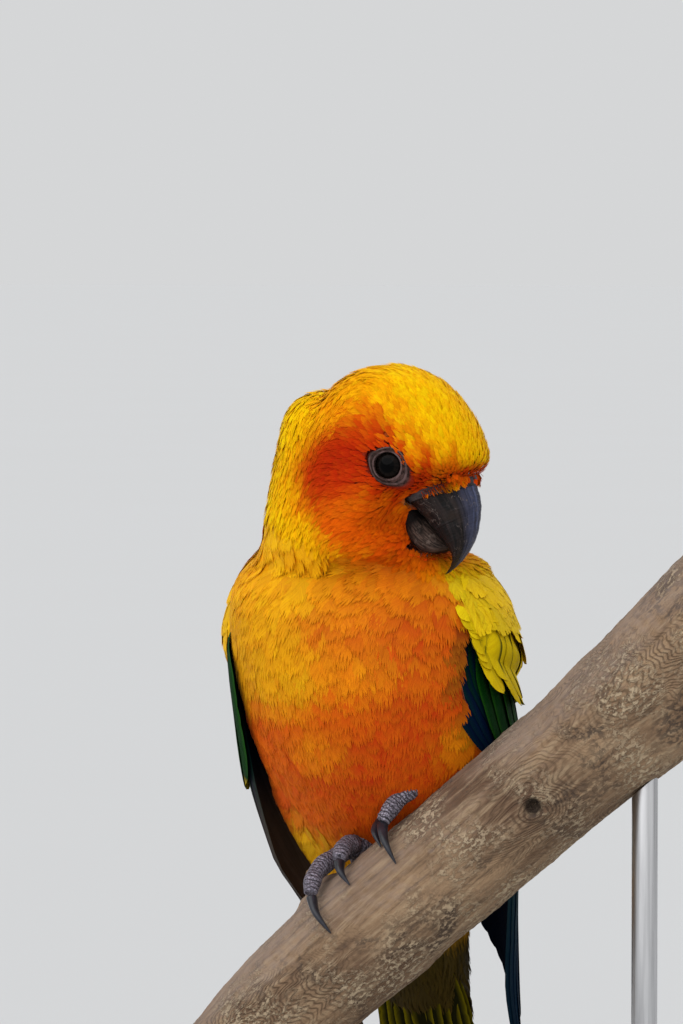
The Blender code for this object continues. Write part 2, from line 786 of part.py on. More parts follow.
FEET = {
    "R": {
        "base": (10.0, -8, 4.0),
        "hock": (9.5, -34, 9.0),
        "toes": [
            [(5.4, 2, 4.0), (1.8, 22, 3.9), (-0.3, 38, 3.5)],
            [(10.8, -4, 3.8), (10.6, 10, 4.0), (9.4, 25, 3.3)],
            [(8.5, -20, 3.4), (6.0, -42, 2.7), (4.5, -66, 2.4)],
            [(12.0, -20, 3.2), (14.0, -38, 2.6), (15.0, -54, 2.4)],
        ],
        "claws": [
            [(-0.5, 41.5, 3.2), (-1.2, 56, 2.6), (-1.2, 73, 0.7)],
            [(9.1, 28.5, 3.0), (8.6, 38, 2.4), (8.6, 47, 0.7)],
            [(4.3, -69.5, 2.2), (4.0, -80, 1.8), (4.0, -90, 0.7)],
            [(15.2, -57.5, 2.2), (15.6, -66, 1.8), (15.8, -75, 0.7)],
        ],
    },
    "L": {
        "base": (37.0, -10, 4.0),
        "hock": (35.5, -36, 9.0),
        "toes": [
            [(33.5, -2, 3.8), (27.5, 10, 4.2), (23.4, 24, 3.5)],
            [(34.5, -12, 3.8), (27.0, -5, 3.8), (21.6, 6, 3.3)],
            [(36.0, -22, 3.4), (33.5, -44, 2.7), (32.0, -68, 2.4)],
            [(39.0, -22, 3.2), (41.5, -40, 2.6), (42.5, -56, 2.4)],
        ],
        "claws": [
            [(23.1, 27.5, 3.1), (22.4, 46, 2.6), (21.6, 62, 0.7)],
            [(21.2, 9.5, 3.0), (20.0, 22, 2.5), (19.8, 36, 0.7)],
            [(31.8, -71.5, 2.2), (31.4, -82, 1.8), (31.3, -92, 0.7)],
            [(42.7, -59.5, 2.2), (43.0, -68, 1.8), (43.2, -77, 0.7)],
        ],
    },
}
TARSUS_RADII = (2.2, 2.9, 2.6)
TOE_RADII = (2.0, 2.1, 1.95, 1.6)
CLAW_RADII = (1.25, 0.95, 0.4)


def curved(points, count):
    """A smooth path through a few points of the perch's frame, as places in space."""
    rows = np.array(points, float)
    knots = np.arange(len(rows))
    steps = [smooth_between(knots, rows, t) for t in np.linspace(0, len(rows) - 1, count)]
    return [perch_point(*row) for row in steps]


def radii_along(radii, count):
    return np.interp(np.linspace(0, len(radii) - 1, count), np.arange(len(radii)), radii)


def leg_pieces(side, grow=0.0):
    spec = FEET[side]
    pieces = []
    base, hock = perch_point(*spec["base"]), perch_point(*spec["hock"])
    path = [base - (hock - base) * 0.12, base, hock]
    points, faces = tube(path, [radius + grow for radius in TARSUS_RADII], 8)
    pieces.append(add_mesh("tarsus", points, faces))
    for toe in spec["toes"]:
        path = curved([spec["base"]] + toe, 6)
        if grow:
            path[-1] = path[-1] + (path[-1] - path[-2]) * 0.3
        points, faces = tube(path, radii_along(TOE_RADII, 6) + grow, 6, (0, 0.3, 1))
        pieces.append(add_mesh("toe", points, faces))
    return pieces


def claw_body(name, row, grow=0.0, finish=None):
    path = curved(row, 5)
    points, faces = tube(path, radii_along(CLAW_RADII, 5) + grow, 6, (0, 0.3, 1))
    return add_mesh(name, points, faces, finish)


def make_legs(skin, horn):
    for side in ("L", "R"):
        first, *rest = leg_pieces(side)
        first.name = "leg_" + side
        first.data.materials.append(skin)
        join_union(first, rest)
        for n, row in enumerate(FEET[side]["claws"], start=1):
            claw_body(f"claw_{side}{n}", row, 0.0, horn)


# Stand: a flat base and two rods


def base_ring(inset, height, count=36):
    """A level ring round the base, a rounded rectangle."""
    half = BASE_SIZE[:2] / 2 - inset
    ring = []
    for i in range(count):
        a = 2 * math.pi * i / count
        blend = (abs(math.cos(a)) ** 4 + abs(math.sin(a)) ** 4) ** -0.25
        x = BASE_CENTRE[0] + half[0] * blend * math.cos(a)
        y = BASE_CENTRE[1] + half[1] * blend * math.sin(a)
        ring.append([x, y, height])
    return ring


def make_stand(base_finish, rod_finish):
    thick = BASE_SIZE[2]
    levels = [(BASE_BEVEL, 0.0), (0.0, BASE_BEVEL), (0.0, thick - BASE_BEVEL), (BASE_BEVEL, thick)]
    points, faces = loft([base_ring(*level) for level in levels])
    add_mesh("stand_base", points, faces, base_finish)
    slope = math.tan(math.radians(PERCH_SLOPE))
    for name, x in ROD_PLACES.items():
        top = PERCH_CENTRE[2] + x * slope
        path = [(x, PERCH_CENTRE[1], thick + GAP), (x, PERCH_CENTRE[1], top)]
        points, faces = tube(path, [ROD_RADIUS, ROD_RADIUS], 16, (1, 0, 0))
        rod = add_mesh(name, points, faces, rod_finish)
        cut(rod, [perch_body("clear", GAP)])


def main():
    clear_scene()
    orange = material("body_feathers", (0.90, 0.33, 0.01), 0.8)
    yellow = material("head_feathers", (0.93, 0.55, 0.01), 0.8)
    wing_green = material("wing_feathers", (0.55, 0.55, 0.02), 0.7)
    tail_olive = material("tail_feathers", (0.14, 0.16, 0.05), 0.7)
    horn = material("bill_horn", (0.035, 0.03, 0.03), 0.4)
    cere_skin = material("cere_skin", (0.18, 0.17, 0.18), 0.6)
    foot_skin = material("foot_skin", (0.22, 0.21, 0.24), 0.6)
    eye_dark = material("eye_dark", (0.01, 0.01, 0.012), 0.05)
    lid_skin = material("lid_skin", (0.13, 0.12, 0.13), 0.6)
    bark = material("bare_wood", (0.42, 0.30, 0.19), 0.8)
    base_wood = material("base_wood", (0.05, 0.035, 0.025), 0.45)
    steel = material("rod_steel", (0.6, 0.6, 0.6), 0.3, 1.0)

    make_head(yellow)
    make_bill(horn, cere_skin)
    make_eyes(eye_dark, lid_skin)
    make_neck(yellow)
    make_torso(orange)
    make_tail(tail_olive)
    make_wing("wing_L", 1, wing_green)
    make_wing("wing_R", -1, wing_green)
    make_perch(bark)
    make_legs(foot_skin, horn)
    make_stand(base_wood, steel)


main()
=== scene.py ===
# A sun conure that grips a cut branch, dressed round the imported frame
import math
import time

import bmesh
import bpy
import numpy as np
from mathutils import Matrix, Vector
from mathutils.bvhtree import BVHTree
from mathutils.kdtree import KDTree


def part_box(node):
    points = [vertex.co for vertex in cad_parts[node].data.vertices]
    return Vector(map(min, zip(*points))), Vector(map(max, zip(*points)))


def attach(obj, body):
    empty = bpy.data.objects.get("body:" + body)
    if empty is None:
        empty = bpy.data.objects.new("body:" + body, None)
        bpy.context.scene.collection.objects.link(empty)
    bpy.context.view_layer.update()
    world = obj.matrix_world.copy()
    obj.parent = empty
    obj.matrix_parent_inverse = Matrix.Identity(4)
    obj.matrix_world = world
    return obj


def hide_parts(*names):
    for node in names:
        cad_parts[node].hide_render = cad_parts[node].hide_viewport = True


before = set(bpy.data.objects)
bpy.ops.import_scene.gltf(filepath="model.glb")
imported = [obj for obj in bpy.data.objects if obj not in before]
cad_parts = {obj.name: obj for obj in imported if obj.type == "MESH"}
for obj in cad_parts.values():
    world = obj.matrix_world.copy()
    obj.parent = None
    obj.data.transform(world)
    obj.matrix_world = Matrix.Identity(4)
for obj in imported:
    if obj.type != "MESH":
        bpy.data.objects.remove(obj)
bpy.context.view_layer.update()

mm = 0.001
started = time.time()


def report(text):
    print(f"[{time.time() - started:5.1f} s] {text}")


# Shared helpers: curves, meshes, nodes

def clearSelection():
    for item in bpy.context.selected_objects:
        item.select_set(False)
    bpy.context.view_layer.objects.active = None


def selectOnly(item):
    clearSelection()
    item.select_set(True)
    bpy.context.view_layer.objects.active = item


def joinPieces(pieces, name):
    clearSelection()
    for piece in pieces:
        piece.select_set(True)
    bpy.context.view_layer.objects.active = pieces[0]
    bpy.ops.object.join()
    made = bpy.context.active_object
    made.name = made.data.name = name
    return made


def smoothBetween(knots, values, at):
    # a smooth curve through the knots, read at many places; values may have a column for each place
    knots = np.asarray(knots, float)
    values = np.asarray(values, float)
    at = np.clip(np.asarray(at, float), knots[0], knots[-1])
    i = np.clip(np.searchsorted(knots, at) - 1, 0, len(knots) - 2)
    low = np.maximum(np.arange(len(knots)) - 1, 0)
    high = np.minimum(np.arange(len(knots)) + 1, len(knots) - 1)
    run = (knots[high] - knots[low]).reshape((-1,) + (1,) * (values.ndim - 1))
    slopes = (values[high] - values[low]) / run
    step = knots[i + 1] - knots[i]
    t = (at - knots[i]) / step
    if values.ndim > 1 and values.shape[1:] == at.shape:
        j = np.arange(len(at))
        a, b, sa, sb = values[i, j], values[i + 1, j], slopes[i, j], slopes[i + 1, j]
    else:
        a, b, sa, sb = values[i], values[i + 1], slopes[i], slopes[i + 1]
        if values.ndim > 1:
            t = t[..., None]
            step = step[..., None]
    t2, t3 = t * t, t * t * t
    leaving = (2 * t3 - 3 * t2 + 1) * a + (t3 - 2 * t2 + t) * step * sa
    return leaving + (3 * t2 - 2 * t3) * b + (t3 - t2) * step * sb


def ease(low, high, at):
    t = np.clip((np.asarray(at, float) - low) / (high - low), 0, 1)
    return t * t * (3 - 2 * t)


def unit(v):
    v = np.asarray(v, float)
    return v / np.maximum(np.linalg.norm(v, axis=-1, keepdims=True), 1e-9)


def ripple(points, scale, seed=0):
    # a soft, even noise of about -1 to 1, the same each run
    draw = np.random.default_rng(seed)
    total = np.zeros(len(points))
    for octave in range(5):
        way = unit(draw.normal(size=3)) / scale * (1 + 0.45 * octave)
        total += np.sin(points @ way * 2 * math.pi + draw.uniform(0, 6.28)) / (1 + 0.3 * octave)
    return total / 2.4


def circle(count):
    return np.linspace(0, 2 * math.pi, count, endpoint=False)


def pointsOf(mesh):
    points = np.empty(len(mesh.vertices) * 3)
    mesh.vertices.foreach_get("co", points)
    return points.reshape(-1, 3) / mm


def movePoints(mesh, points):
    mesh.vertices.foreach_set("co", (points * mm).astype(np.float32).ravel())


def treeOf(made):
    faces = [tuple(face.vertices) for face in made.data.polygons]
    return BVHTree.FromPolygons([vert.co / mm for vert in made.data.vertices], faces)


def paint(mesh, colours):
    # a colour for each point, which the materials read as tint
    layer = mesh.color_attributes.new("tint", "FLOAT_COLOR", "POINT")
    full = np.ones((len(colours), 4), np.float32)
    full[:, :3] = colours
    layer.data.foreach_set("color", full.ravel())


def layMap(mesh, mapName, rows):
    # a UV map from a row for each point
    corner = np.empty(len(mesh.loops), np.int32)
    mesh.loops.foreach_get("vertex_index", corner)
    layer = mesh.uv_layers.new(name=mapName)
    layer.data.foreach_set("uv", np.asarray(rows, np.float32)[corner].ravel())


def dress(made, finish, sharp=None):
    made.data.materials.clear()
    made.data.materials.append(finish)
    made.data.shade_smooth()
    if sharp:
        made.data.set_sharp_from_angle(angle=math.radians(sharp))


def buildMesh(name, points, faces, finish, colours=None, maps=None, sharp=None):
    # points in millimetres; colours and maps have a row for each point
    points = np.asarray(points, float) * mm
    mesh = bpy.data.meshes.new(name)
    if isinstance(faces, np.ndarray):
        sides = faces.shape[1]
        mesh.vertices.add(len(points))
        mesh.vertices.foreach_set("co", points.astype(np.float32).ravel())
        mesh.loops.add(faces.size)
        mesh.loops.foreach_set("vertex_index", faces.astype(np.int32).ravel())
        mesh.polygons.add(len(faces))
        mesh.polygons.foreach_set("loop_start", np.arange(0, faces.size, sides, dtype=np.int32))
        mesh.update(calc_edges=True)
    else:
        mesh.from_pydata([tuple(p) for p in points], [], faces)
        mesh.update()
    if colours is not None:
        paint(mesh, colours)
    for mapName, rows in (maps or {}).items():
        layMap(mesh, mapName, rows)
    made = bpy.data.objects.new(name, mesh)
    bpy.context.scene.collection.objects.link(made)
    dress(made, finish, sharp)
    return made


def finishPiece(made, slotName, *nodes):
    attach(made, "root")
    if nodes:
        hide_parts(*nodes)
    return made


def gridFaces(rows, columns, closedAcross=False, start=0):
    r = np.arange(rows - 1)[:, None]
    c = np.arange(columns if closedAcross else columns - 1)[None, :]
    nextC = (c + 1) % columns
    a = r * columns + c
    b = r * columns + nextC
    return np.stack([a, b, b + columns, a + columns], axis=-1).reshape(-1, 4) + start


def withHubs(rings):
    # every ring's rows, and then the middle of the first ring and of the last
    hubs = np.stack([rings[0].mean(0), rings[-1].mean(0)])
    return np.concatenate([rings.reshape(-1, rings.shape[-1]), hubs])


def loftMesh(name, rings, finish, maps=None, sharp=None):
    # a closed body through rings of the same number of points, its ends closed by a fan
    rings = np.asarray(rings, float)
    count, sides = rings.shape[:2]
    points = withHubs(rings)
    faces = [tuple(f) for f in gridFaces(count, sides, True)]
    hub = count * sides
    for i in range(sides):
        j = (i + 1) % sides
        faces.append((j, i, hub))
        faces.append(((count - 1) * sides + i, (count - 1) * sides + j, hub + 1))
    full = {key: withHubs(np.asarray(rows, float)) for key, rows in (maps or {}).items()}
    made = buildMesh(name, points, faces, finish, None, full, sharp)
    outward(made)
    return made


def outward(made):
    work = bmesh.new()
    work.from_mesh(made.data)
    bmesh.ops.recalc_face_normals(work, faces=work.faces)
    if work.calc_volume(signed=True) < 0:
        bmesh.ops.reverse_faces(work, faces=work.faces)
    work.to_mesh(made.data)
    work.free()


def tubeRings(path, radii, sides, startSide=(0, 0.3, 1), flat=1.0, bump=1.0):
    # rings round a line; bump is a factor for each point of the rings
    ahead = unit(np.gradient(path, axis=0))
    startSide = np.asarray(startSide, float)
    side = unit(startSide - ahead * (ahead @ startSide)[:, None])
    other = np.cross(ahead, side)
    turn = circle(sides)
    size = radii[:, None] * np.ones(sides) * bump
    wide, deep = (np.cos(turn) * size * flat)[..., None], (np.sin(turn) * size)[..., None]
    return path[:, None] + side[:, None] * wide + other[:, None] * deep


class Shader:
    # a small hand for wiring a material or a node group
    def __init__(self, tree):
        self.tree = tree
        tree.nodes.clear()

    def add(self, kind, inputs=None, **settings):
        node = self.tree.nodes.new(kind)
        for key, value in settings.items():
            setattr(node, key, value)
        for key, value in (inputs or {}).items():
            self.feed(node.inputs[key], value)
        return node

    def feed(self, socket, value):
        if isinstance(value, bpy.types.NodeSocket):
            self.tree.links.new(value, socket)
        elif isinstance(value, (tuple, list)) and len(value) == 3 and socket.type == "RGBA":
            socket.default_value = (*value, 1.0)
        else:
            socket.default_value = value

    def here(self):
        return self.add("ShaderNodeTexCoord").outputs["Object"]

    def map(self, name):
        return self.add("ShaderNodeUVMap", uv_map=name).outputs["UV"]

    def tint(self):
        return self.add("ShaderNodeAttribute", attribute_name="tint").outputs["Color"]

    def axes(self, vector):
        node = self.add("ShaderNodeSeparateXYZ")
        self.feed(node.inputs[0], vector)
        return node.outputs

    def math(self, operation, a, b=0.0):
        node = self.add("ShaderNodeMath", operation=operation)
        self.feed(node.inputs[0], a)
        self.feed(node.inputs[1], b)
        return node.outputs[0]

    def times(self, a, b):
        return self.math("MULTIPLY", a, b)

    def gap(self, a, b):
        # how far apart two values are
        return self.math("ABSOLUTE", self.math("SUBTRACT", a, b))

    def mix(self, share, a, b, blend="MIX"):
        node = self.add("ShaderNodeMix", data_type="RGBA", blend_type=blend)
        self.feed(node.inputs[0], share)
        self.feed(node.inputs[6], a)
        self.feed(node.inputs[7], b)
        return node.outputs[2]

    def noise(self, vector, scale, detail=3.0, rough=0.55, distort=0.0):
        node = self.add("ShaderNodeTexNoise", {"Vector": vector, "Scale": scale, "Detail": detail,
                                               "Roughness": rough, "Distortion": distort})
        return node.outputs["Fac"]

    def grain(self, vector, stretch, detail=3.0, rough=0.55, distort=0.0):
        # noise drawn out along an axis
        return self.noise(self.place(vector, stretch), 1.0, detail, rough, distort)

    def span(self, value, low, high, toLow=0.0, toHigh=1.0):
        node = self.add("ShaderNodeMapRange", {"Value": value, "From Min": low, "From Max": high,
                                               "To Min": toLow, "To Max": toHigh})
        return node.outputs["Result"]

    def place(self, vector, scale, turn=(0, 0, 0)):
        node = self.add("ShaderNodeMapping", {"Vector": vector, "Scale": scale, "Rotation": turn})
        return node.outputs["Vector"]

    def output(self, colour, roughness, bump=None, strength=0.3, distance=0.001, **fixed):
        shader = self.add("ShaderNodeBsdfPrincipled", {"Base Color": colour, "Roughness": roughness})
        for key, value in fixed.items():
            shader.inputs[key.replace("_", " ")].default_value = value
        if bump is not None:
            node = self.add("ShaderNodeBump", {"Strength": strength, "Distance": distance, "Height": bump})
            self.feed(shader.inputs["Normal"], node.outputs["Normal"])
        self.add("ShaderNodeOutputMaterial", {"Surface": shader.outputs["BSDF"]})


def newMaterial(name):
    made = bpy.data.materials.new(name)
    made.use_nodes = True
    return made, Shader(made.node_tree)


def newGroup(name, inputs, outputs):
    group = bpy.data.node_groups.new(name, "ShaderNodeTree")
    for label, kind, value in inputs:
        socket = group.interface.new_socket(name=label, in_out="INPUT", socket_type=kind)
        if value is not None:
            socket.default_value = value
    for label, kind in outputs:
        group.interface.new_socket(name=label, in_out="OUTPUT", socket_type=kind)
    hand = Shader(group)
    start = hand.add("NodeGroupInput")
    end = hand.add("NodeGroupOutput")
    return group, hand, start, end


# The forms the coat and the wings lie on, in millimetres

headForm = {
    "turn": 80.0,
    "centre": np.array([6.4, -6.8, 214.8]),
}
headTurn = math.radians(headForm["turn"])
headAhead = np.array([math.sin(headTurn), -math.cos(headTurn), 0.0])
headAcross = np.array([-math.cos(headTurn), -math.sin(headTurn), 0.0])


def headSpot(forward, across, up):
    # a place given in the head's own directions, single or many
    forward, across, up = (np.asarray(v, float)[..., None] for v in (forward, across, up))
    return headForm["centre"] + headAhead * forward + headAcross * across + np.array([0, 0, 1.0]) * up


def inHead(points):
    local = np.atleast_2d(points) - headForm["centre"]
    return local @ headAhead, local @ headAcross, local[:, 2]


flankRows = np.array([
    (52, 0, 52.5, 18.6, 8, 8), (70, 0, 44, 20, 9, 9.5), (87, 0, 35.5, 21.8, 13, 13),
    (104, 0, 27, 24.2, 16, 16), (120, 0, 20, 26.6, 19, 20.5), (134, 0, 13, 28.6, 22, 22),
    (143, 0, 8.5, 29.4, 23.5, 23), (154, -0.4, 4, 30, 24.4, 22.6), (164, -0.8, 1, 29.6, 24, 21.4),
    (177, -2.1, 0.5, 27.6, 21.8, 19), (186, -3.5, 3.5, 25.6, 19, 17), (195, -4, 5, 21.4, 16, 15),
], float)
# the body's own form: height, centre, half width, front, back, turn
bodyRows = np.array([
    (94, 0, 32.5, 8, 6, 7, 0), (100, 0, 29.5, 13, 10, 11.5, 0), (108, 0, 25.5, 18, 12.5, 16, 0),
    (116, 0, 21.5, 23, 15, 21, 0), (125, 0, 17, 27, 19.5, 24, 0), (134, 0, 12.8, 29.7, 24, 26, 0),
    (143, 0, 8.5, 32.7, 27, 27.5, 0), (154, 0, 4, 34.6, 29, 27, 0), (164, 0, 1, 35.2, 29.5, 26.5, 0),
    (177, -2.2, 0, 34.2, 27.5, 26, 0), (186, -3.6, 3.5, 33, 25, 22, 0), (191, -3.4, 4.5, 30, 22, 21, 0),
    (195, 0, -2, 21.5, 18.5, 29, 80), (201, 3.2, -6, 18, 12.4, 31, 80),
    (207, 5.2, -6.8, 17.2, 14.6, 31.6, 80),
    (214.8, 6.4, -6.8, 16.4, 25.4, 31.6, 80), (222, 6.4, -6.8, 15.6, 24.3, 28.8, 80),
    (229, 6.4, -6.8, 13.8, 19.3, 24.2, 80), (233, 6.9, -6.8, 11.4, 14.4, 15.5, 80),
    (235.6, 7.9, -6.8, 7, 8.5, 8.5, 80), (237.2, 8.4, -6.8, 0.01, 0.01, 0.01, 80),
], float)
backEdgeRows = np.array([(52, 104), (87, 128), (110, 150), (130, 160), (150, 160), (165, 155), (180, 145),
                         (190, 130), (198, 108)], float)
bodyAxisRows = np.array([(94, 0, 32.5), (116, 0, 21.5), (134, 0, 12.8), (154, 0, 4), (177, -1.5, 0),
                         (191, -3, 4.5), (201, 3.2, -6), (214.8, 6.4, -6.8), (237, 8.4, -6.8)], float)


# the front edges as they show past the coat, for the left wing and the right one
leftEdgeRows = np.array([(52, 96), (70, 92), (87, 86), (104, 88), (120, 89), (134, 82), (142, 71), (150, 63),
                         (158, 57), (166, 53), (174, 57), (184, 64), (190, 71), (198, 82)], float)
rightEdgeRows = np.array([(52, 96), (70, 90), (87, 80), (104, 76), (120, 72), (134, 64), (145, 60), (155, 60),
                          (165, 64), (172, 72), (182, 76), (190, 78), (198, 84)], float)


def frontEdge(height, side):
    left = smoothBetween(leftEdgeRows[:, 0], leftEdgeRows[:, 1], height)
    right = smoothBetween(rightEdgeRows[:, 0], rightEdgeRows[:, 1], height)
    return np.where(side > 0, left, right)


def frontRaise(angle, height, side):
    # how far the feathers by a wing's front edge stand off the flank, to clear the body's side
    wide = np.where(side > 0, 22, 22 + 24 * (1 - ease(140, 160, height)))
    share = 1 - ease(0, 1, (np.abs(angle) - frontEdge(height, side)) / wide)
    left = 1.6 * ease(138, 150, height) * (1 - ease(176, 186, height))
    right = 3.6 * ease(104, 120, height) * (1 - ease(172, 184, height))
    right = right + 1.2 * ease(96, 116, height) * (1 - ease(136, 156, height))
    return share * np.where(side > 0, left, right)


def backEdge(height):
    return smoothBetween(backEdgeRows[:, 0], backEdgeRows[:, 1], height)


def flankReach(angle, height):
    a = np.radians(angle)
    depth = np.where(np.cos(a) > 0, flankRows[:, 4:5], flankRows[:, 5:6])
    squared = 1 / ((np.sin(a) / flankRows[:, 3:4]) ** 2 + (np.cos(a) / depth) ** 2)
    return np.sqrt(np.maximum(smoothBetween(flankRows[:, 0], squared, height), 1e-4))


def flankAngle(points):
    # the angle round the body, and how far out from its axis
    centre = smoothBetween(flankRows[:, 0], flankRows[:, 1:3], points[:, 2])
    x, y = (points[:, :2] - centre).T
    return np.degrees(np.arctan2(x, -y)), np.hypot(x, y)


def rowsOf(*values):
    # the values as arrays of one length
    return (np.atleast_1d(np.asarray(value, float)) for value in np.broadcast_arrays(*values))


def flankPoint(angle, height, out):
    # the angle round the body is 0 at the front and grows towards +X
    angle, height, out = rowsOf(angle, height, out)
    centre = smoothBetween(flankRows[:, 0], flankRows[:, 1:3], height)
    far = flankReach(angle, height) + out
    a = np.radians(angle)
    return np.stack([centre[:, 0] + far * np.sin(a), centre[:, 1] - far * np.cos(a), height], axis=-1)


def bodyPoint(angle, height, out):
    # the same for the body, neck and head, with the face narrowed towards the bill and a swelling at the nape
    angle, height, out = rowsOf(angle, height, out)
    turned = np.radians(angle[:, None] - bodyRows[None, :, 6])
    depth = np.where(np.cos(turned) > 0, bodyRows[None, :, 4], bodyRows[None, :, 5])
    squared = 1 / ((np.sin(turned) / bodyRows[None, :, 3]) ** 2 + (np.cos(turned) / depth) ** 2)
    centre = smoothBetween(bodyRows[:, 0], bodyRows[:, 1:3], height)
    reach = np.sqrt(np.maximum(smoothBetween(bodyRows[:, 0], squared.T, height), 1e-4))
    local = np.radians(angle - headForm["turn"])
    low = ease(195, 202, height) * (1 - ease(207, 216, height)) * (np.cos(local) > 0)
    reach = reach * (1 - 0.2 * low * np.sin(2 * local) ** 2)
    far = np.maximum(reach + out, 0.0)
    a = np.radians(angle)
    made = np.stack([centre[:, 0] + far * np.sin(a), centre[:, 1] - far * np.cos(a), height], axis=-1)
    return made + lumps(made)


def lumps(points):
    # small swellings of the coat that the level rings leave out: the nape and the back of the crown
    f, r, u = inHead(points)
    away = unit(np.stack([f + 4, r * 0.6, u + 6], -1))
    size = 2.0 * np.exp(-((f + 21) / 6) ** 2 - ((u - 9) / 6) ** 2)
    size += 1.1 * np.exp(-((f + 6) / 6) ** 2 - ((u - 21) / 5) ** 2)
    size -= 1.5 * np.exp(-((f + 14.5) / 2.6) ** 2 - ((u - 17) / 5) ** 2)
    way = away[:, :1] * headAhead + away[:, 1:2] * headAcross + away[:, 2:] * np.array([0, 0, 1.0])
    return way * size[:, None]


def wingPoint(side, across, height, out):
    across, height = np.broadcast_arrays(np.asarray(across, float), np.asarray(height, float))
    across, height = np.atleast_1d(across), np.atleast_1d(height)
    front = frontEdge(height, side)
    return flankPoint(side * (front + across * (backEdge(height) - front)), height, out)


def wingCover(points):
    # how far inside a folded wing's outline each point lies: above 0 is under the wing
    height = points[:, 2]
    angle = flankAngle(points)[0]
    front = np.where(angle > 0, frontEdge(height, 1), frontEdge(height, -1))
    inside = np.minimum(np.abs(angle) - front, backEdge(height) - np.abs(angle))
    inside = np.minimum(inside, (188 - height) * 3)
    return np.minimum(inside, (height - 98) * 3)


def unwrapSpot(points):
    # the skin opened out: once round the body's axis, and from the tail end up to the crown
    axis = smoothBetween(bodyAxisRows[:, 0], bodyAxisRows[:, 1:], points[:, 2])
    angle = np.arctan2(points[:, 0] - axis[:, 0], -(points[:, 1] - axis[:, 1]))
    out = np.linalg.norm(points[:, :2] - axis, axis=1)
    rise = np.clip((points[:, 2] - 95) / 143, 0, 1)
    crown = ease(225, 238, points[:, 2]) * (1 - np.clip(out / 24, 0, 1)) * 0.09
    return np.stack([0.01 + 0.98 * (angle / (2 * math.pi) + 0.5), 0.01 + 0.88 * rise + crown], axis=-1)


perch = {
    "slope": 40.5, "centre": np.array([0, -6.0, 103.6]), "start": -50.0, "end": 125.0,
    "knots": [-50, -25, 0, 40, 70, 90, 110, 125], "radii": [12.6, 14.2, 14.9, 14.9, 15.2, 16.6, 18.6, 19.4],
    "rows": 300, "sides": 200,
    # how far from the middle line feathers are laid, and where none grow
    "cover": 15.2, "bare": 15.1,
    # knots, the hollow one first: distance, angle, size, depth of the hole, height of the rim
    "marks": [(56.7, 105.0, 2.2, 2.2, 0.8), (31.0, 74, 1.2, 0.5, 0.3), (104, 118, 3.2, 0.6, 1.3),
              (-3, -14, 4.6, 0, 1.6)],
    # broken twigs: distance, angle, height, foot, top
    "twigs": [(-3.0, -14.0, 7.0, 4.6, 2.0), (103.0, 128.0, 2.2, 4.5, 3.0)],
}


def perchAxis():
    slope = math.radians(perch["slope"])
    return (np.array([math.cos(slope), 0, math.sin(slope)]), np.array([-math.sin(slope), 0, math.cos(slope)]),
            np.array([0, -1.0, 0]))


def offBranch(points):
    # each point's distance along the branch, its place on the middle line and its way out from there
    along = perchAxis()[0]
    local = points - perch["centre"]
    run = local @ along
    axis = run[..., None] * along
    return run, axis, local - axis


# Markings, shared by the skin and the coat, with some painted shade

# the near-black tone for inside the bill's outline is painted shade
tones = {
    "crown": (0.96, 0.55, 0.001), "nape": (0.98, 0.60, 0.001), "amber": (0.90, 0.31, 0.001),
    "fire": (0.62, 0.042, 0.001), "ember": (0.42, 0.012, 0.001), "cheek": (0.74, 0.10, 0.001),
    "breast": (0.63, 0.122, 0.001), "gold": (0.92, 0.44, 0.001), "sun": (0.76, 0.37, 0.001),
    "belly": (0.72, 0.098, 0.001), "flame": (0.54, 0.022, 0.001), "vent": (0.95, 0.50, 0.001),
    "back": (0.90, 0.50, 0.002), "rump": (0.80, 0.32, 0.001), "gapShade": (0.012, 0.008, 0.008),
    "lemon": (0.72, 0.50, 0.003),
}

# outlines of the larger patches: forward and up on the head, across and up on the body's front
redFace = [(-15.5, 1.5), (-13, 6.5), (-8, 9.5), (-1, 10), (4.5, 9), (8.5, 6.5), (11.5, 3), (16, 0.0),
           (20.5, -1.6), (21, -8), (15, -12), (8.5, -9), (1, -8), (-8, -8.5), (-15, -6)]
warmCheek = [(-10, -7), (2, -7), (9, -5), (15, -9), (13, -20), (5, -21), (-5, -17), (-10, -13)]
goldBreast = [(-40, 206), (-8, 202), (-6, 190), (-10, 181), (-5, 172), (-6, 166), (-14, 164), (-24, 162),
              (-40, 162)]
lightBand = [(-20, 178), (28, 174), (26, 167), (0, 165), (-18, 160), (-26, 166)]
deepBelly = [(14, 182), (34, 180), (34, 146), (14, 130), (-2, 124), (-8, 132), (-12, 146), (-4, 154),
             (8, 158)]


def insideOutline(x, y, outline):
    inside = np.zeros(len(x), bool)
    for n, (x1, y1) in enumerate(outline):
        x2, y2 = outline[n - 1]
        if y1 == y2:
            continue
        crosses = (y1 > y) != (y2 > y)
        inside ^= crosses & (x < (x2 - x1) * (y - y1) / (y2 - y1) + x1)
    return inside


bill = {
    # upper bill: ridge, cutting edge and half width; lower bill: distance, depth and half width
    "upper": [((21.5, -1.7), (5.0, -7.6), 6.2), ((22.4, -4.8), (6.4, -9.3), 6.3),
              ((23.4, -8.4), (10.6, -13.2), 5.8), ((23.2, -12.2), (14.0, -17.0), 5.0),
              ((22.4, -16.0), (16.1, -19.6), 4.0),
              ((20.6, -19.6), (16.9, -21.5), 2.8), ((18.1, -22.8), (16.2, -23.4), 1.5),
              ((15.2, -25.2), (14.6, -25.4), 0.45)],
    "lower": [(0.0, 3.4, 4.0), (3.5, 5.2, 4.9), (7.0, 6.0, 5.1), (10.0, 5.2, 4.7), (12.0, 3.6, 3.9),
              (13.4, 2.2, 2.8)],
    "lowerStart": (7.1, -9.6), "ahead": (0.70, -0.714), "down": (-0.714, -0.70),
    "sides": 56, "rings": 64,
}


def upperRow(t):
    rows = np.array([(*a, *b, w) for a, b, w in bill["upper"]])
    return smoothBetween(np.arange(len(rows)), rows, np.atleast_1d(t))


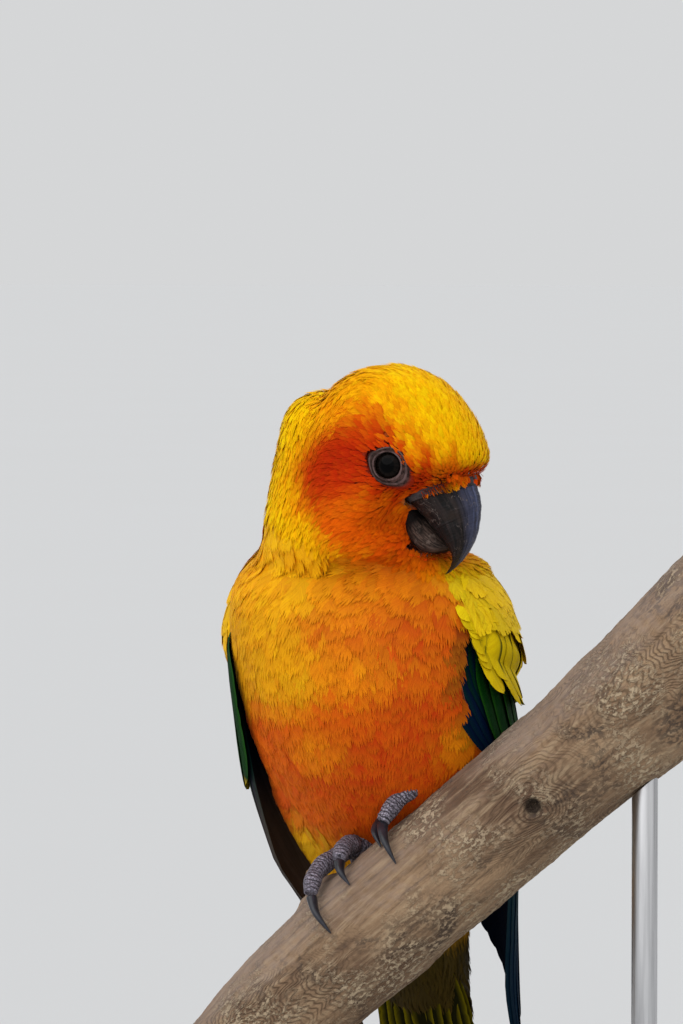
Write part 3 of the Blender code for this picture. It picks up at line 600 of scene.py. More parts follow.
def outlineDepth(x, y, outline):
    # how far inside an outline each spot lies, below zero outside it
    spots = np.stack([x, y], -1)
    ends = np.array(outline, float)
    far = np.full(len(x), 1e9)
    for n in range(len(ends)):
        a, b = ends[n - 1], ends[n]
        run = b - a
        t = np.clip(((spots - a) @ run) / (run @ run), 0, 1)
        far = np.minimum(far, np.linalg.norm(spots - a - t[:, None] * run, axis=1))
    return np.where(insideOutline(x, y, outline), far, -far)


def patch(x, y, outline, soft):
    # 1 well inside an outline, 0 well outside it
    return ease(-soft, soft, outlineDepth(x, y, outline))


# the bill's outlines in the head's own middle plane, forward and up
upperOutline = [(20.4, -2.2), (23.0, -4.4), (24.0, -8.4), (23.6, -13), (21.5, -20), (16, -25.6),
                (14.5, -25.5), (16.2, -21.5), (13.4, -17.2), (9.8, -13.2), (6.4, -9.5), (5.0, -7.4)]
lowerOutline = [(7.0, -9.6), (8.5, -9.4), (16.0, -17.6), (17.2, -19.4), (14.5, -21.0), (9.5, -21.4),
                (6.4, -18.8), (6.0, -14.0)]


def inBill(points, wider=0.5):
    f, r, u = inHead(points)
    upper = (outlineDepth(f, u, upperOutline) > -wider) & (np.abs(r) < 6.6) & ((f < 12) | (u > -15))
    lower = (outlineDepth(f, u, lowerOutline) > -wider) & (np.abs(r) < 5.8)
    return upper | lower


def blob(points, centre, radii, soft=0.35):
    far = np.linalg.norm((points - np.array(centre)) / np.array(radii), axis=1)
    return 1 - ease(1 - soft, 1 + soft, far)


def layered(colour, *coats):
    # each coat is a tone and how much of it there is at each point
    for tone, share in coats:
        colour = colour + (np.array(tones[tone]) - colour) * np.clip(share, 0, 1)[:, None]
    return colour


def markings(points):
    # the colour at each point: body, neck, then head, each tone laid over those before it, with painted shade
    # beside the left wing and inside the bill's outline
    points = np.atleast_2d(points)
    f, r, u = inHead(points)
    local = np.stack([f, np.abs(r), u], -1)
    soft, fine = ripple(points, 17, 3), ripple(points, 5, 5)
    x, y, z = points.T
    across, level = x + 1.5 * fine, z + 1.5 * fine + 1.5 * soft
    front = ease(-0.1, 0.5, -(y - 6) / 26)
    colour = layered(
        np.tile(np.array(tones["breast"]), (len(points), 1)),
        ("belly", 1 - ease(160, 172, level)),
        ("amber", 0.5 * patch(across, level, lightBand, 4)),
        ("sun", patch(across, level, goldBreast, 6) * (0.85 + 0.15 * fine)),
        ("flame", 0.75 * patch(across, level, deepBelly, 7) * (0.85 + 0.3 * fine)),
        ("amber", 0.5 * blob(points, (-8, -18, 152), (7, 22, 5), 0.7)),
        ("gold", 0.35 * blob(points, (25, -10, 153), (4, 18, 5.5), 0.7)),
        ("vent", (1 - ease(118, 130, z + 2.5 * fine)) * (1 - ease(-10, 6, x))),
        ("back", 1 - front),
        ("rump", (1 - ease(120, 135, z)) * (1 - front) * 0.6))
    # painted shade: darker beside the left wing's front edge, where the breast lies in the wing's shadow
    wingEdgeShade = ease(-4, 0, wingCover(points)) * (x > 0) * ease(146, 152, z) * (1 - ease(176, 182, z))
    colour = colour * (1 - wingEdgeShade[:, None] * np.array([0.55, 0.35, 0.0]))
    neck = ease(178, 195, z + soft)
    throat = ease(-10, 8, f + fine)
    turn = np.degrees(np.arctan2(x, -y))
    shoulder = ease(61, 70, turn + 3 * fine) * ease(172, 178, z) * (1 - ease(195, 201, z)) * (turn < 165)
    head = ease(193, 206, z)
    side = np.maximum(ease(3, 8, np.abs(r)), ease(-7, -11, u))
    colour = layered(
        colour,
        ("gold", neck * (1 - throat)),
        ("amber", neck * throat * 0.45),
        ("breast", 0.30 * blob(points, (8, -24, 191), (16, 14, 3.5), 0.6)),
        ("lemon", shoulder),
        ("crown", head * ease(-16, -8, f + soft)),
        ("nape", head * (1 - ease(-17, -9, f + 1.5 * soft))),
        ("amber", 0.45 * blob(local, (-3, 8, 18), (9, 9, 6), 0.5)),
        ("cheek", 0.4 * blob(local, (-4, 10, 12), (10, 9, 6), 0.9)),
        ("amber", 0.5 * blob(local, (-17, 10, -3), (6, 12, 10), 0.9)),
        ("amber", 0.7 * blob(local, (12, 10, -16), (12, 14, 8), 0.5)),
        ("cheek", patch(f + 1.2 * fine, u + 1.2 * fine, warmCheek, 3.5) * side),
        ("amber", 0.9 * patch(f + 2 * fine, u - 2 + 2 * fine, redFace, 9) * side),
        ("cheek", 0.8 * patch(f + 2 * fine, u - 0.5 + 2 * fine, redFace, 7.5) * side),
        ("fire", patch(f + 2.5 * fine, u + 2.5 * fine, redFace, 5.5) * side),
        ("ember", 0.85 * blob(local, (-5.5, 14, 1.5), (8, 9, 6.5), 0.9)),
        ("ember", 0.20 * blob(local, (14.5, 8, -5.0), (7, 8, 5), 0.7)),
        ("fire", 0.95 * blob(local, (20.5, 0, -2.0), (4.5, 7, 2.4), 0.35)),
        ("fire", 0.5 * blob(local, (7, 5, -21), (8, 8, 3.5), 0.5)))
    colour = np.clip(colour * (1 + 0.04 * soft[:, None] + 0.03 * fine[:, None]), 0.0003, 1)
    # painted shade: inside the bill's outline the colour goes to near black, so the gap between the bills
    # reads as shadow
    return layered(colour, ("gapShade", inBill(points, -2.4).astype(float)))


# Camera, floor and lights

view = {
    "place": (402.4, -1128.8, 265.8), "azimuth": 20.0, "elevation": 3.0, "lens": 179.5,
    "floorTone": (0.62, 0.625, 0.63), "skyTone": (0.98, 0.99, 1.0), "sky": 0.68,
    # each lamp: where it stands, how wide its light is and its strength
    "lamps": {
        "key": ((-0.5, -1.1, 1.0), 70.0, 1.45),
        "fill": ((0.9, -1.0, 0.25), 90.0, 0.50),
        "rim": ((0.7, 1.2, 0.9), 40.0, 0.40),
    },
}


def setStage():
    lens = bpy.data.cameras.new("portrait")
    lens.sensor_fit = "VERTICAL"
    lens.sensor_height = 36.0
    lens.lens = view["lens"]
    lens.clip_start, lens.clip_end = 0.05, 100.0
    lens.dof.use_dof = False
    camera = bpy.data.objects.new("portrait", lens)
    az, el = math.radians(view["azimuth"]), math.radians(view["elevation"])
    right = Vector((math.cos(az), math.sin(az), 0))
    back = Vector((math.sin(az) * math.cos(el), -math.cos(az) * math.cos(el), math.sin(el)))
    up = back.cross(right)
    turn = Matrix((right, up, back)).transposed().to_4x4()
    camera.matrix_world = Matrix.Translation(Vector(view["place"]) * mm) @ turn
    bpy.context.scene.collection.objects.link(camera)
    bpy.context.scene.camera = camera

    clearSelection()
    bpy.ops.mesh.primitive_plane_add(size=60, location=(0, 0, 0))
    floor = bpy.context.active_object
    floor.name = "floor"
    made, hand = newMaterial("paleFloor")
    spot = hand.here()
    cloud = hand.noise(spot, 3.0, 4)
    tone = hand.mix(hand.span(cloud, 0.3, 0.7, 0.0, 0.05), view["floorTone"], (0.56, 0.55, 0.535))
    hand.output(tone, 0.9, Specular_IOR_Level=0.0)
    floor.data.materials.append(made)

    world = bpy.data.worlds.new("studio")
    world.use_nodes = True
    bpy.context.scene.world = world
    sky = world.node_tree.nodes["Background"]
    sky.inputs["Color"].default_value = (*view["skyTone"], 1)
    sky.inputs["Strength"].default_value = view["sky"]
    for name, (place, angle, strength) in view["lamps"].items():
        lamp = bpy.data.lights.new(name, "SUN")
        lamp.angle, lamp.energy = math.radians(angle), strength
        holder = bpy.data.objects.new(name, lamp)
        holder.location = place
        holder.rotation_euler = (-Vector(place)).to_track_quat("-Z", "Y").to_euler()
        bpy.context.scene.collection.objects.link(holder)
    bpy.context.scene.view_settings.view_transform = "Standard"


setStage()
report("camera, floor and lights")


# Shader groups

def makeGroups():
    groups = {}
    # fine barbs across a feather, from its own map: across 0 to 1, along 0 to 1
    group, hand, start, end = newGroup(
        "barbLines", [("Map", "NodeSocketVector", None), ("Count", "NodeSocketFloat", 30.0),
                      ("Slant", "NodeSocketFloat", 1.2)],
        [("Lines", "NodeSocketFloat")])
    parts = hand.axes(start.outputs["Map"])
    across = hand.gap(parts[0], 0.5)
    slanted = hand.math("SUBTRACT", parts[1], hand.times(across, start.outputs["Slant"]))
    joined = hand.add("ShaderNodeCombineXYZ")
    hand.feed(joined.inputs[0], hand.times(slanted, start.outputs["Count"]))
    hand.feed(joined.inputs[1], hand.times(across, 1.5))
    lines = hand.noise(joined.outputs[0], 1.0, 2.0, 0.6)
    hand.feed(end.inputs["Lines"], hand.span(lines, 0.3, 0.7))
    groups["barbLines"] = group
    # soft patches that break up an even colour
    group, hand, start, end = newGroup(
        "mottle", [("Place", "NodeSocketVector", None), ("Size", "NodeSocketFloat", 90.0)],
        [("Soft", "NodeSocketFloat"), ("Fine", "NodeSocketFloat")])
    place, size = start.outputs["Place"], start.outputs["Size"]
    hand.feed(end.inputs["Soft"], hand.span(hand.noise(place, size, 3.0), 0.3, 0.7))
    hand.feed(end.inputs["Fine"], hand.span(hand.noise(place, hand.times(size, 7.0), 2.0), 0.3, 0.7))
    groups["mottle"] = group
    return groups


groups = makeGroups()


def useGroup(hand, name, inputs):
    node = hand.add("ShaderNodeGroup", node_tree=groups[name])
    for key, value in inputs.items():
        hand.feed(node.inputs[key], value)
    return node


def mottle(hand, size):
    # soft and fine patches over the piece's own place
    node = useGroup(hand, "mottle", {"Place": hand.here(), "Size": size})
    return node.outputs["Soft"], node.outputs["Fine"]


def mottledFinish(name, size, dark, light, roughness, strength, distance, **fixed):
    made, hand = newMaterial(name)
    soft, fine = mottle(hand, size)
    hand.output(hand.mix(soft, dark, light), roughness, fine, strength, distance, **fixed)
    return made


def featherMaterial(name, roughness, sheen, barbCount, depth, slant=1.2, shine=0.10):
    made, hand = newMaterial(name)
    tint = hand.tint()
    barbs = {"Map": hand.map("vane"), "Count": barbCount, "Slant": slant}
    lines = useGroup(hand, "barbLines", barbs).outputs["Lines"]
    soft, fine = mottle(hand, 110.0)
    dark = hand.mix(1.0, tint, (0.84, 0.74, 0.7), "MULTIPLY")
    light = hand.mix(1.0, tint, (1.06, 1.12, 1.1), "MULTIPLY")
    colour = hand.mix(lines, dark, light)
    colour = hand.mix(hand.span(soft, 0, 1, 0.0, 0.2), colour, dark)
    rough = hand.span(fine, 0, 1, roughness - 0.06, roughness + 0.06)
    hand.output(colour, rough, lines, depth, 0.0003, Sheen_Weight=sheen, Sheen_Roughness=0.4,
                Specular_IOR_Level=shine)
    return made


# The skin under the coat

skin = {"voxel": 0.9, "swell": 0.35, "depth": 1.7, "smoothing": 12, "under": 0.35, "coatFrom": 98}


def nodeCopy(name):
    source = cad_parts[name]
    made = bpy.data.objects.new("copy_" + name, source.data.copy())
    bpy.context.scene.collection.objects.link(made)
    made.data.materials.clear()
    work = bmesh.new()
    work.from_mesh(made.data)
    bmesh.ops.remove_doubles(work, verts=work.verts, dist=1e-6)
    work.to_mesh(made.data)
    work.free()
    return made


def modify(made, kind, **settings):
    # adds a modifier and applies it
    modifier = made.modifiers.new(kind.lower(), kind)
    for key, value in settings.items():
        setattr(modifier, key, value)
    selectOnly(made)
    bpy.ops.object.modifier_apply(modifier=modifier.name)


def keepLargest(made):
    # the voxel remesh leaves shells inside; the one outer surface is the largest
    work = bmesh.new()
    work.from_mesh(made.data)
    work.verts.ensure_lookup_table()
    seen, best = set(), []
    for seed in work.verts:
        if seed.index in seen:
            continue
        stack, island = [seed], []
        seen.add(seed.index)
        while stack:
            vert = stack.pop()
            island.append(vert)
            for edge in vert.link_edges:
                other = edge.other_vert(vert)
                if other.index not in seen:
                    seen.add(other.index)
                    stack.append(other)
        if len(island) > len(best):
            best = island
    keep = {vert.index for vert in best}
    bmesh.ops.delete(work, geom=[vert for vert in work.verts if vert.index not in keep], context="VERTS")
    work.to_mesh(made.data)
    work.free()


def downMaterial():
    finish, hand = newMaterial("downySkin")
    tint = hand.tint()
    soft, fine = mottle(hand, 160.0)
    colour = hand.mix(soft, hand.mix(1.0, tint, (0.6, 0.5, 0.45), "MULTIPLY"), tint)
    hand.output(colour, 0.85, fine, 0.4, 0.0006, Sheen_Weight=0.2, Specular_IOR_Level=0.2)
    return finish


def makeSkin():
    copies = [nodeCopy(name) for name in ("head", "neck", "torso")]
    for made in copies:
        modify(made, "DISPLACE", mid_level=0.0, strength=skin["swell"] * mm)
    made = joinPieces(copies, "skin")
    modify(made, "REMESH", mode="VOXEL", voxel_size=skin["voxel"] * mm)
    modify(made, "SMOOTH", iterations=skin["smoothing"], factor=0.5)
    keepLargest(made)
    modify(made, "DISPLACE", mid_level=0.0, strength=-(skin["depth"] + skin["swell"]) * mm)
    modify(made, "SMOOTH", iterations=4)
    points = pointsOf(made.data)
    points = points + lumps(points)
    # nothing of it may stand above the surface the feathers are laid on
    for n in np.flatnonzero(points[:, 2] >= skin["coatFrom"]):
        near, normal, _, _ = guideTree.find_nearest(Vector(points[n]))
        if (Vector(points[n]) - near).dot(normal) > -skin["under"]:
            points[n] = near - normal * skin["under"]
    movePoints(made.data, points)
    paint(made.data, markings(points) * 0.8)
    dress(made, downMaterial())
    finishPiece(made, "body_feathers", "head", "neck", "torso")


def makeGuide():
    # the closed form the coat is laid along: the body without the wings' seats, the eyes or the bill
    turns, levels = 128, 150
    heights = np.concatenate([np.linspace(95, 232, levels - 14), np.linspace(232.6, 237.1, 14)])
    angle, height = np.meshgrid(np.linspace(0, 360, turns, endpoint=False), heights)
    points = bodyPoint(angle.ravel(), height.ravel(), -skin["depth"])
    faces = gridFaces(levels, turns, True)
    tris = np.concatenate([faces[:, [0, 1, 2]], faces[:, [0, 2, 3]]])
    return points, tris, BVHTree.FromPolygons([Vector(p) for p in points], [tuple(f) for f in tris])


guidePoints, guideTris, guideTree = makeGuide()
makeSkin()


# Small contour feathers

def featherShape(seed, rows, halves, barbs, aspect, spread=1.0, thin=0.022, far=0.34):
    # one feather laid flat: along 0 to 1 and across -1 to 1, a small vane with many loose barbs round it
    draw = np.random.default_rng(seed)
    spots = [(a, side * h, 0.0) for a, h in zip(rows, halves) for side in (-1, 0, 1)]
    faces = []
    for a in [k * 3 + j for k in range(len(rows) - 1) for j in range(2)]:
        faces += [(a, a + 1, a + 4), (a, a + 4, a + 3)]
    tipAt = rows[-1] + 0.08
    spots.append((tipAt, 0.0, 0.0))
    last = (len(rows) - 1) * 3
    faces += [(last, last + 1, last + 3), (last + 1, last + 2, last + 3)]
    rim = list(zip(rows, halves))[1:]
    edge = np.array([(a, -h) for a, h in rim] + [(tipAt, 0.0)] + [(a, h) for a, h in rim[::-1]])
    t = np.linspace(0, 1, len(edge))
    for n in range(barbs):
        s = np.clip((n + 0.5 + draw.uniform(-0.4, 0.4)) / barbs, 0, 1)
        root = np.array([np.interp(s, t, edge[:, 0]), np.interp(s, t, edge[:, 1])])
        root[0] -= draw.uniform(0.04, 0.16)
        root[1] *= draw.uniform(0.7, 0.92)
        lean = (s - 0.5) * 2
        reach = far + 0.10 * math.cos(lean * math.pi / 2) + draw.uniform(-0.10, 0.06)
        out = lean * (0.50 - 0.22 * abs(lean)) * spread + draw.uniform(-0.07, 0.07)
        tip = root + np.array([reach * (1 - 0.2 * abs(lean)), out])
        middle = root + (tip - root) * 0.55 + np.array([-0.01, 0.22 * out])
        way = np.array([tip[0] - root[0], (tip[1] - root[1]) * aspect])
        way = way / np.linalg.norm(way)
        normal = np.array([-way[1], way[0] / aspect])
        base = len(spots)
        for spot, wide, lift in ((root, thin * 1.3, 0.0), (middle, thin, 0.5)):
            spots += [(*(spot + normal * wide * flip), lift) for flip in (-1, 1)]
        spots.append((min(tip[0], 1.04), tip[1], 1.0))
        faces += [(base, base + 1, base + 3), (base, base + 3, base + 2), (base + 2, base + 3, base + 4)]
    along, across, loose = np.array(spots, float).T
    return along, across, loose, np.array(faces)


def meshParts(mesh):
    mesh.calc_loop_triangles()
    tris = np.empty(len(mesh.loop_triangles) * 3, np.int32)
    mesh.loop_triangles.foreach_get("vertices", tris)
    return pointsOf(mesh), tris.reshape(-1, 3)


def surfaceSamples(points, tris, gapOf, allow, seed, denser=5.0):
    # evenly spread roots on a surface, with a spacing that changes from place to place
    a, b, c = points[tris[:, 0]], points[tris[:, 1]], points[tris[:, 2]]
    area = np.linalg.norm(np.cross(b - a, c - a), axis=1) / 2
    centre = (a + b + c) / 3
    weight = area / gapOf(centre) ** 2 * allow(centre)
    draw = np.random.default_rng(seed)
    count = int(weight.sum() * denser)
    pick = draw.choice(len(tris), count, p=weight / weight.sum())
    w = draw.random((count, 2))
    flip = w.sum(1) > 1
    w[flip] = 1 - w[flip]
    spots = a[pick] + (b[pick] - a[pick]) * w[:, :1] + (c[pick] - a[pick]) * w[:, 1:]
    spots = spots[allow(spots) > 0]
    gaps = gapOf(spots)
    index = KDTree(len(spots))
    for i, spot in enumerate(spots):
        index.insert(spot, i)
    index.balance()
    gone = np.zeros(len(spots), bool)
    kept = []
    for i in range(len(spots)):
        if gone[i]:
            continue
        kept.append(i)
        for _, j, _ in index.find_range(spots[i], gaps[i]):
            gone[j] = True
    return spots[kept]


def march(tree, roots, headings, lengths, steps, follow):
    # each feather's middle line along the surface, with the surface's normal at each point
    lines = np.empty((len(roots), steps + 1, 3))
    normals = np.empty((len(roots), steps + 1, 3))
    for i, root in enumerate(roots):
        spot, normal, _, _ = tree.find_nearest(Vector(root))
        heading = Vector(headings[i])
        step = lengths[i] / steps
        lines[i, 0], normals[i, 0] = spot, normal
        for k in range(1, steps + 1):
            way = (heading - normal * heading.dot(normal)).normalized()
            ahead = spot + way * step
            near, fresh, _, far = tree.find_nearest(ahead)
            if far > step * follow:
                near = ahead + (near - ahead) * (step * follow / far)
                fresh = (normal * 0.8 + fresh * 0.2).normalized()
            spot, normal, heading = near, (normal * 0.5 + fresh * 0.5).normalized(), way
            lines[i, k], normals[i, k] = spot, normal
    return roundEyes(overBill(overBranch(lines))), normals


# the eye's place in the head's middle plane, forward and up
eyePlace = (6.4, 0.1)


def corners(turn):
    # how much of each corner of the eye there is at an angle round it
    back = np.exp(-(np.angle(np.exp(1j * (turn - math.radians(155)))) / 0.38) ** 2)
    front = np.exp(-(np.angle(np.exp(1j * (turn + math.radians(46)))) / 0.55) ** 2)
    return back, front


def eyeOpening(spot):
    # how far from the eye's middle the feathers start
    back, front = corners(np.arctan2(spot[:, 1], spot[:, 0]))
    return 4.15 + 1.1 * back + 1.2 * front


def roundEyes(lines):
    # feathers part round the eyes
    f, r, u = inHead(lines.reshape(-1, 3))
    spot = np.stack([f - eyePlace[0], u - eyePlace[1]], -1)
    far = np.linalg.norm(spot, axis=1)
    clear = eyeOpening(spot)
    near = (far < clear) & (np.abs(r) > 6)
    push = np.where(near, (clear - 0.12 * (clear - far)) / np.maximum(far, 0.3), 1.0)
    moved = spot * push[:, None] + np.array(eyePlace)
    return headSpot(moved[:, 0], r, moved[:, 1]).reshape(lines.shape)


def overBill(lines):
    # feathers that would run into the bill's root are laid over the horn
    f, r, u = inHead(lines.reshape(-1, 3))
    sections = [(row[:2], row[2:4], row[4]) for row in upperRow(np.linspace(0, 3, 30))]
    lower = np.array(bill["lower"])
    start, ahead, down = (np.array(bill[key]) for key in ("lowerStart", "ahead", "down"))
    for distance in np.linspace(0, 9, 20):
        depth, half = (np.interp(distance, lower[:, 0], lower[:, k]) for k in (1, 2))
        top = start + ahead * distance
        sections.append((top, top + down * depth, half + 0.3))
    reach = np.abs(r)
    spot = np.stack([f, u], -1)
    for upper, under, half in sections:
        middle, arm = (upper + under) / 2, (upper - under) / 2
        size = np.linalg.norm(arm)
        level = (spot - middle) @ arm / size ** 2
        off = np.abs((spot - middle) @ np.array([-arm[1], arm[0]])) / size
        wide = half * np.sqrt(np.maximum(1 - level ** 2, 0)) + 0.3
        reach = np.where((off < 0.7) & (np.abs(level) < 1), np.maximum(reach, wide), reach)
    return headSpot(f, np.sign(r) * reach, u).reshape(lines.shape)


def overBranch(lines):
    # feathers that would run into the branch are laid over its bark
    run, axis, off = offBranch(lines)
    size = np.linalg.norm(off, axis=-1, keepdims=True)
    hidden = (run > perch["start"] + 2) & (size[..., 0] < perch["cover"])
    raised = axis + off / np.maximum(size, 1e-6) * perch["cover"] + perch["centre"]
    return np.where(hidden[..., None], raised, lines)


def featherShapes(first, count, *form):
    return [featherShape(first + n, *form) for n in range(count)]


def layFeathers(name, lines, normals, widths, lifts, shapes, colours, finish, seed, slotName,
                camber=0.22, tipShare=0.0, curl=0.15, lean=0.8):
    # joins one mesh from every feather: a shape laid along each line
    draw = np.random.default_rng(seed)
    count, levels = lines.shape[:2]
    tangents = unit(np.gradient(lines, axis=1))
    sides = unit(np.cross(tangents, normals))
    ups = unit(np.cross(sides, tangents))
    which = draw.integers(0, len(shapes), count)
    allPoints, allFaces, allColours, allVanes, allPatches, allUps = [], [], [], [], [], []
    total = 0
    spots = unwrapSpot(lines[:, 0])
    tilt = draw.normal(0, 0.05, count)
    jitter = draw.normal(0, 0.05, count)
    for n, (along, across, loose, faces) in enumerate(shapes):
        rows = np.flatnonzero(which == n)
        if not len(rows):
            continue
        at = np.clip(along, 0, 1) * (levels - 1)
        low = np.minimum(at.astype(int), levels - 2)
        part = (at - low)[None, :, None]

        def between(values):
            return values[rows][:, low] * (1 - part) + values[rows][:, low + 1] * part

        middle, side, up = between(lines), between(sides), between(ups)
        flip = draw.choice([-1.0, 1.0], len(rows))[:, None]
        wide = across[None] * flip * widths[rows][:, None]
        rise = -coat["sunk"] + (lifts[rows][:, None] + coat["sunk"]) * np.clip(along, 0, 1.05)[None] ** 0.75
        rise = rise - camber * across[None] ** 2 * widths[rows][:, None] * 0.5
        rise = rise + tilt[rows][:, None] * wide + jitter[rows][:, None] * along[None]
        rise = rise + loose[None] * (curl * draw.uniform(-0.35, 1.0, (len(rows), 1)))
        rise = rise + loose[None] * draw.normal(0, 0.05, (len(rows), len(along)))
        points = middle + side * wide[..., None] + up * rise[..., None]
        tone = colours[rows][:, None, :] * (0.84 + 0.22 * np.clip(along, 0, 1))[None, :, None]
        if tipShare:
            share = tipShare * ease(0.5, 0.95, along)[None, :, None]
            tone = tone * (1 - share) + np.array(coat["tips"]) * share
        allPoints.append(points.reshape(-1, 3))
        allColours.append(np.clip(tone, 0, 1).reshape(-1, 3))
        offset = total + np.arange(len(rows))[:, None, None] * len(along)
        turned = np.where(flip[:, :, None] < 0, faces[None, :, ::-1], faces[None])
        allFaces.append((turned + offset).reshape(-1, 3))
        allUps.append(up.reshape(-1, 3))
        flat = np.stack([across * 0.5 + 0.5, along], -1)
        shift = draw.uniform(0, 20, (len(rows), 1, 1)) * np.array([0, 1.0])
        allVanes.append((flat[None] + shift).reshape(-1, 2))
        local = np.stack([across * 0.45, along - 0.5], -1) * coat["patch"]
        allPatches.append((spots[rows][:, None] + local[None]).reshape(-1, 2))
        total += len(rows) * len(along)
    made = buildMesh(name, np.concatenate(allPoints), np.concatenate(allFaces), finish,
                     np.concatenate(allColours),
                     {"OFBake": np.concatenate(allPatches), "vane": np.concatenate(allVanes)})
    softenNormals(made, np.concatenate(allUps), lean)
    finishPiece(made, slotName)
    report(f"{name}: {count} feathers, {len(made.data.polygons)} faces")
    return made


def softenNormals(made, ups, share):
    # turns every feather face outwards, then leans its shading towards the surface it lies on
    mesh = made.data
    own = np.empty(len(mesh.vertices) * 3, np.float32)
    mesh.vertex_normals.foreach_get("vector", own)
    own = own.reshape(-1, 3)
    if (own * ups).sum() < 0:
        mesh.flip_normals()
        own = -own
    mesh.normals_split_custom_set_from_vertices(unit(own * (1 - share) + ups * share).astype(np.float32))


billRoot = headSpot(17.0, 0.0, -6.0)


def lieOf(points, normals):
    # away from the bill over the head, then down the neck and the body
    away = unit(points - billRoot)
    far = np.linalg.norm(points - billRoot, axis=1)
    down = np.tile(np.array([0.0, 0.0, -1.0]), (len(points), 1))
    x, z = points[:, 0], points[:, 2]
    down[:, 1] += 0.25 * (1 - ease(110, 150, z))
    down[:, 0] += 0.006 * np.clip(x, -25, 25) * ease(150, 185, z) * (1 - ease(188, 200, z))
    share = ease(20, 40, far)[:, None]
    way = away * (1 - share) + down * share
    way = way - normals * (way * normals).sum(1, keepdims=True)
    return unit(way)


coat = {
    "headGap": 0.78, "bodyGap": 1.75, "seed": 11, "bodyBarbs": 42, "headBarbs": 14,
    "bodyLift": 0.62, "headLift": 0.75, "sunk": 0.15, "tips": (1.0, 0.44, 0.001),
    # how far across each feather's own patch of the OFBake map is
    "patch": 0.003,
}


def headShare(points):
    # 1 on the face and crown, 0 on the body
    return ease(186, 204, points[:, 2] + 0.30 * (inHead(points)[0] + 4))


def bareSpots(points):
    # places with no feathers: the bill, the eyes, the branch and under the folded wings
    f, r, u = inHead(points)
    spot = np.stack([f - eyePlace[0], u - eyePlace[1]], -1)
    bare = (np.linalg.norm(spot, axis=1) < eyeOpening(spot) - 0.3) & (np.abs(r) > 6)
    branch = np.linalg.norm(offBranch(points)[2], axis=1) < perch["bare"]
    return bare | inBill(points, -0.7) | branch | (wingCover(points) > 1)


def normalsAt(tree, points):
    return np.array([tree.find_nearest(Vector(p))[1] for p in points])


def coatTint(points, draw, depth, warmth):
    # the markings' colour, changed a little from feather to feather
    tint = markings(points) * draw.uniform(1 - depth, 1 + depth, (len(points), 1))
    tint[:, 1] *= draw.uniform(1 - warmth, 1 + warmth, len(points))
    return tint


def makeBodyCoat(draw, finish):
    def gapOf(points):
        return coat["bodyGap"] * (1 - 0.34 * headShare(points)) * np.ones(len(points))

    def allowed(points):
        return (~bareSpots(points) & (headShare(points) < 0.55)).astype(float)

    roots = surfaceSamples(guidePoints, guideTris, gapOf, allowed, coat["seed"])
    normals = normalsAt(guideTree, roots)
    lie = unit(lieOf(roots, normals) + draw.normal(0, 0.10, roots.shape))
    share = headShare(roots)
    z = roots[:, 2]
    under = ease(-8, 3, wingCover(roots))
    lengths = (11.0 - 4.5 * share) * draw.uniform(0.85, 1.12, len(roots))
    lengths *= (1 + 0.2 * (1 - ease(112, 128, z))) * (1 - 0.3 * under)
    widths = (3.7 - 1.6 * share) * draw.uniform(0.85, 1.12, len(roots))
    lifts = coat["bodyLift"] * draw.uniform(0.85, 1.15, len(roots)) * (1 - 0.15 * share) * (1 - 0.35 * under)
    edge = ease(-9, -2, wingCover(roots)) * (roots[:, 0] > 0)
    lifts *= 1 + 0.5 * edge
    lie[:, 0] += 0.22 * edge
    lines, lineNormals = march(guideTree, roots, unit(lie), lengths, 5, 0.30)
    tint = coatTint(roots + lie * 3.0, draw, 0.07, 0.10)
    shapes = featherShapes(40, 9, [0, 0.2, 0.4, 0.55], [0.3, 0.6, 0.7, 0.45], coat["bodyBarbs"], 0.34, 1.0,
                           0.024)
    for n, rows in enumerate(np.array_split(np.argsort(-z), 4)):
        layFeathers(f"coat_body_{n + 1}", lines[rows], lineNormals[rows], widths[rows], lifts[rows], shapes,
                    tint[rows], finish, 21 + n, "body_feathers", tipShare=0.16, curl=0.08, lean=0.9)


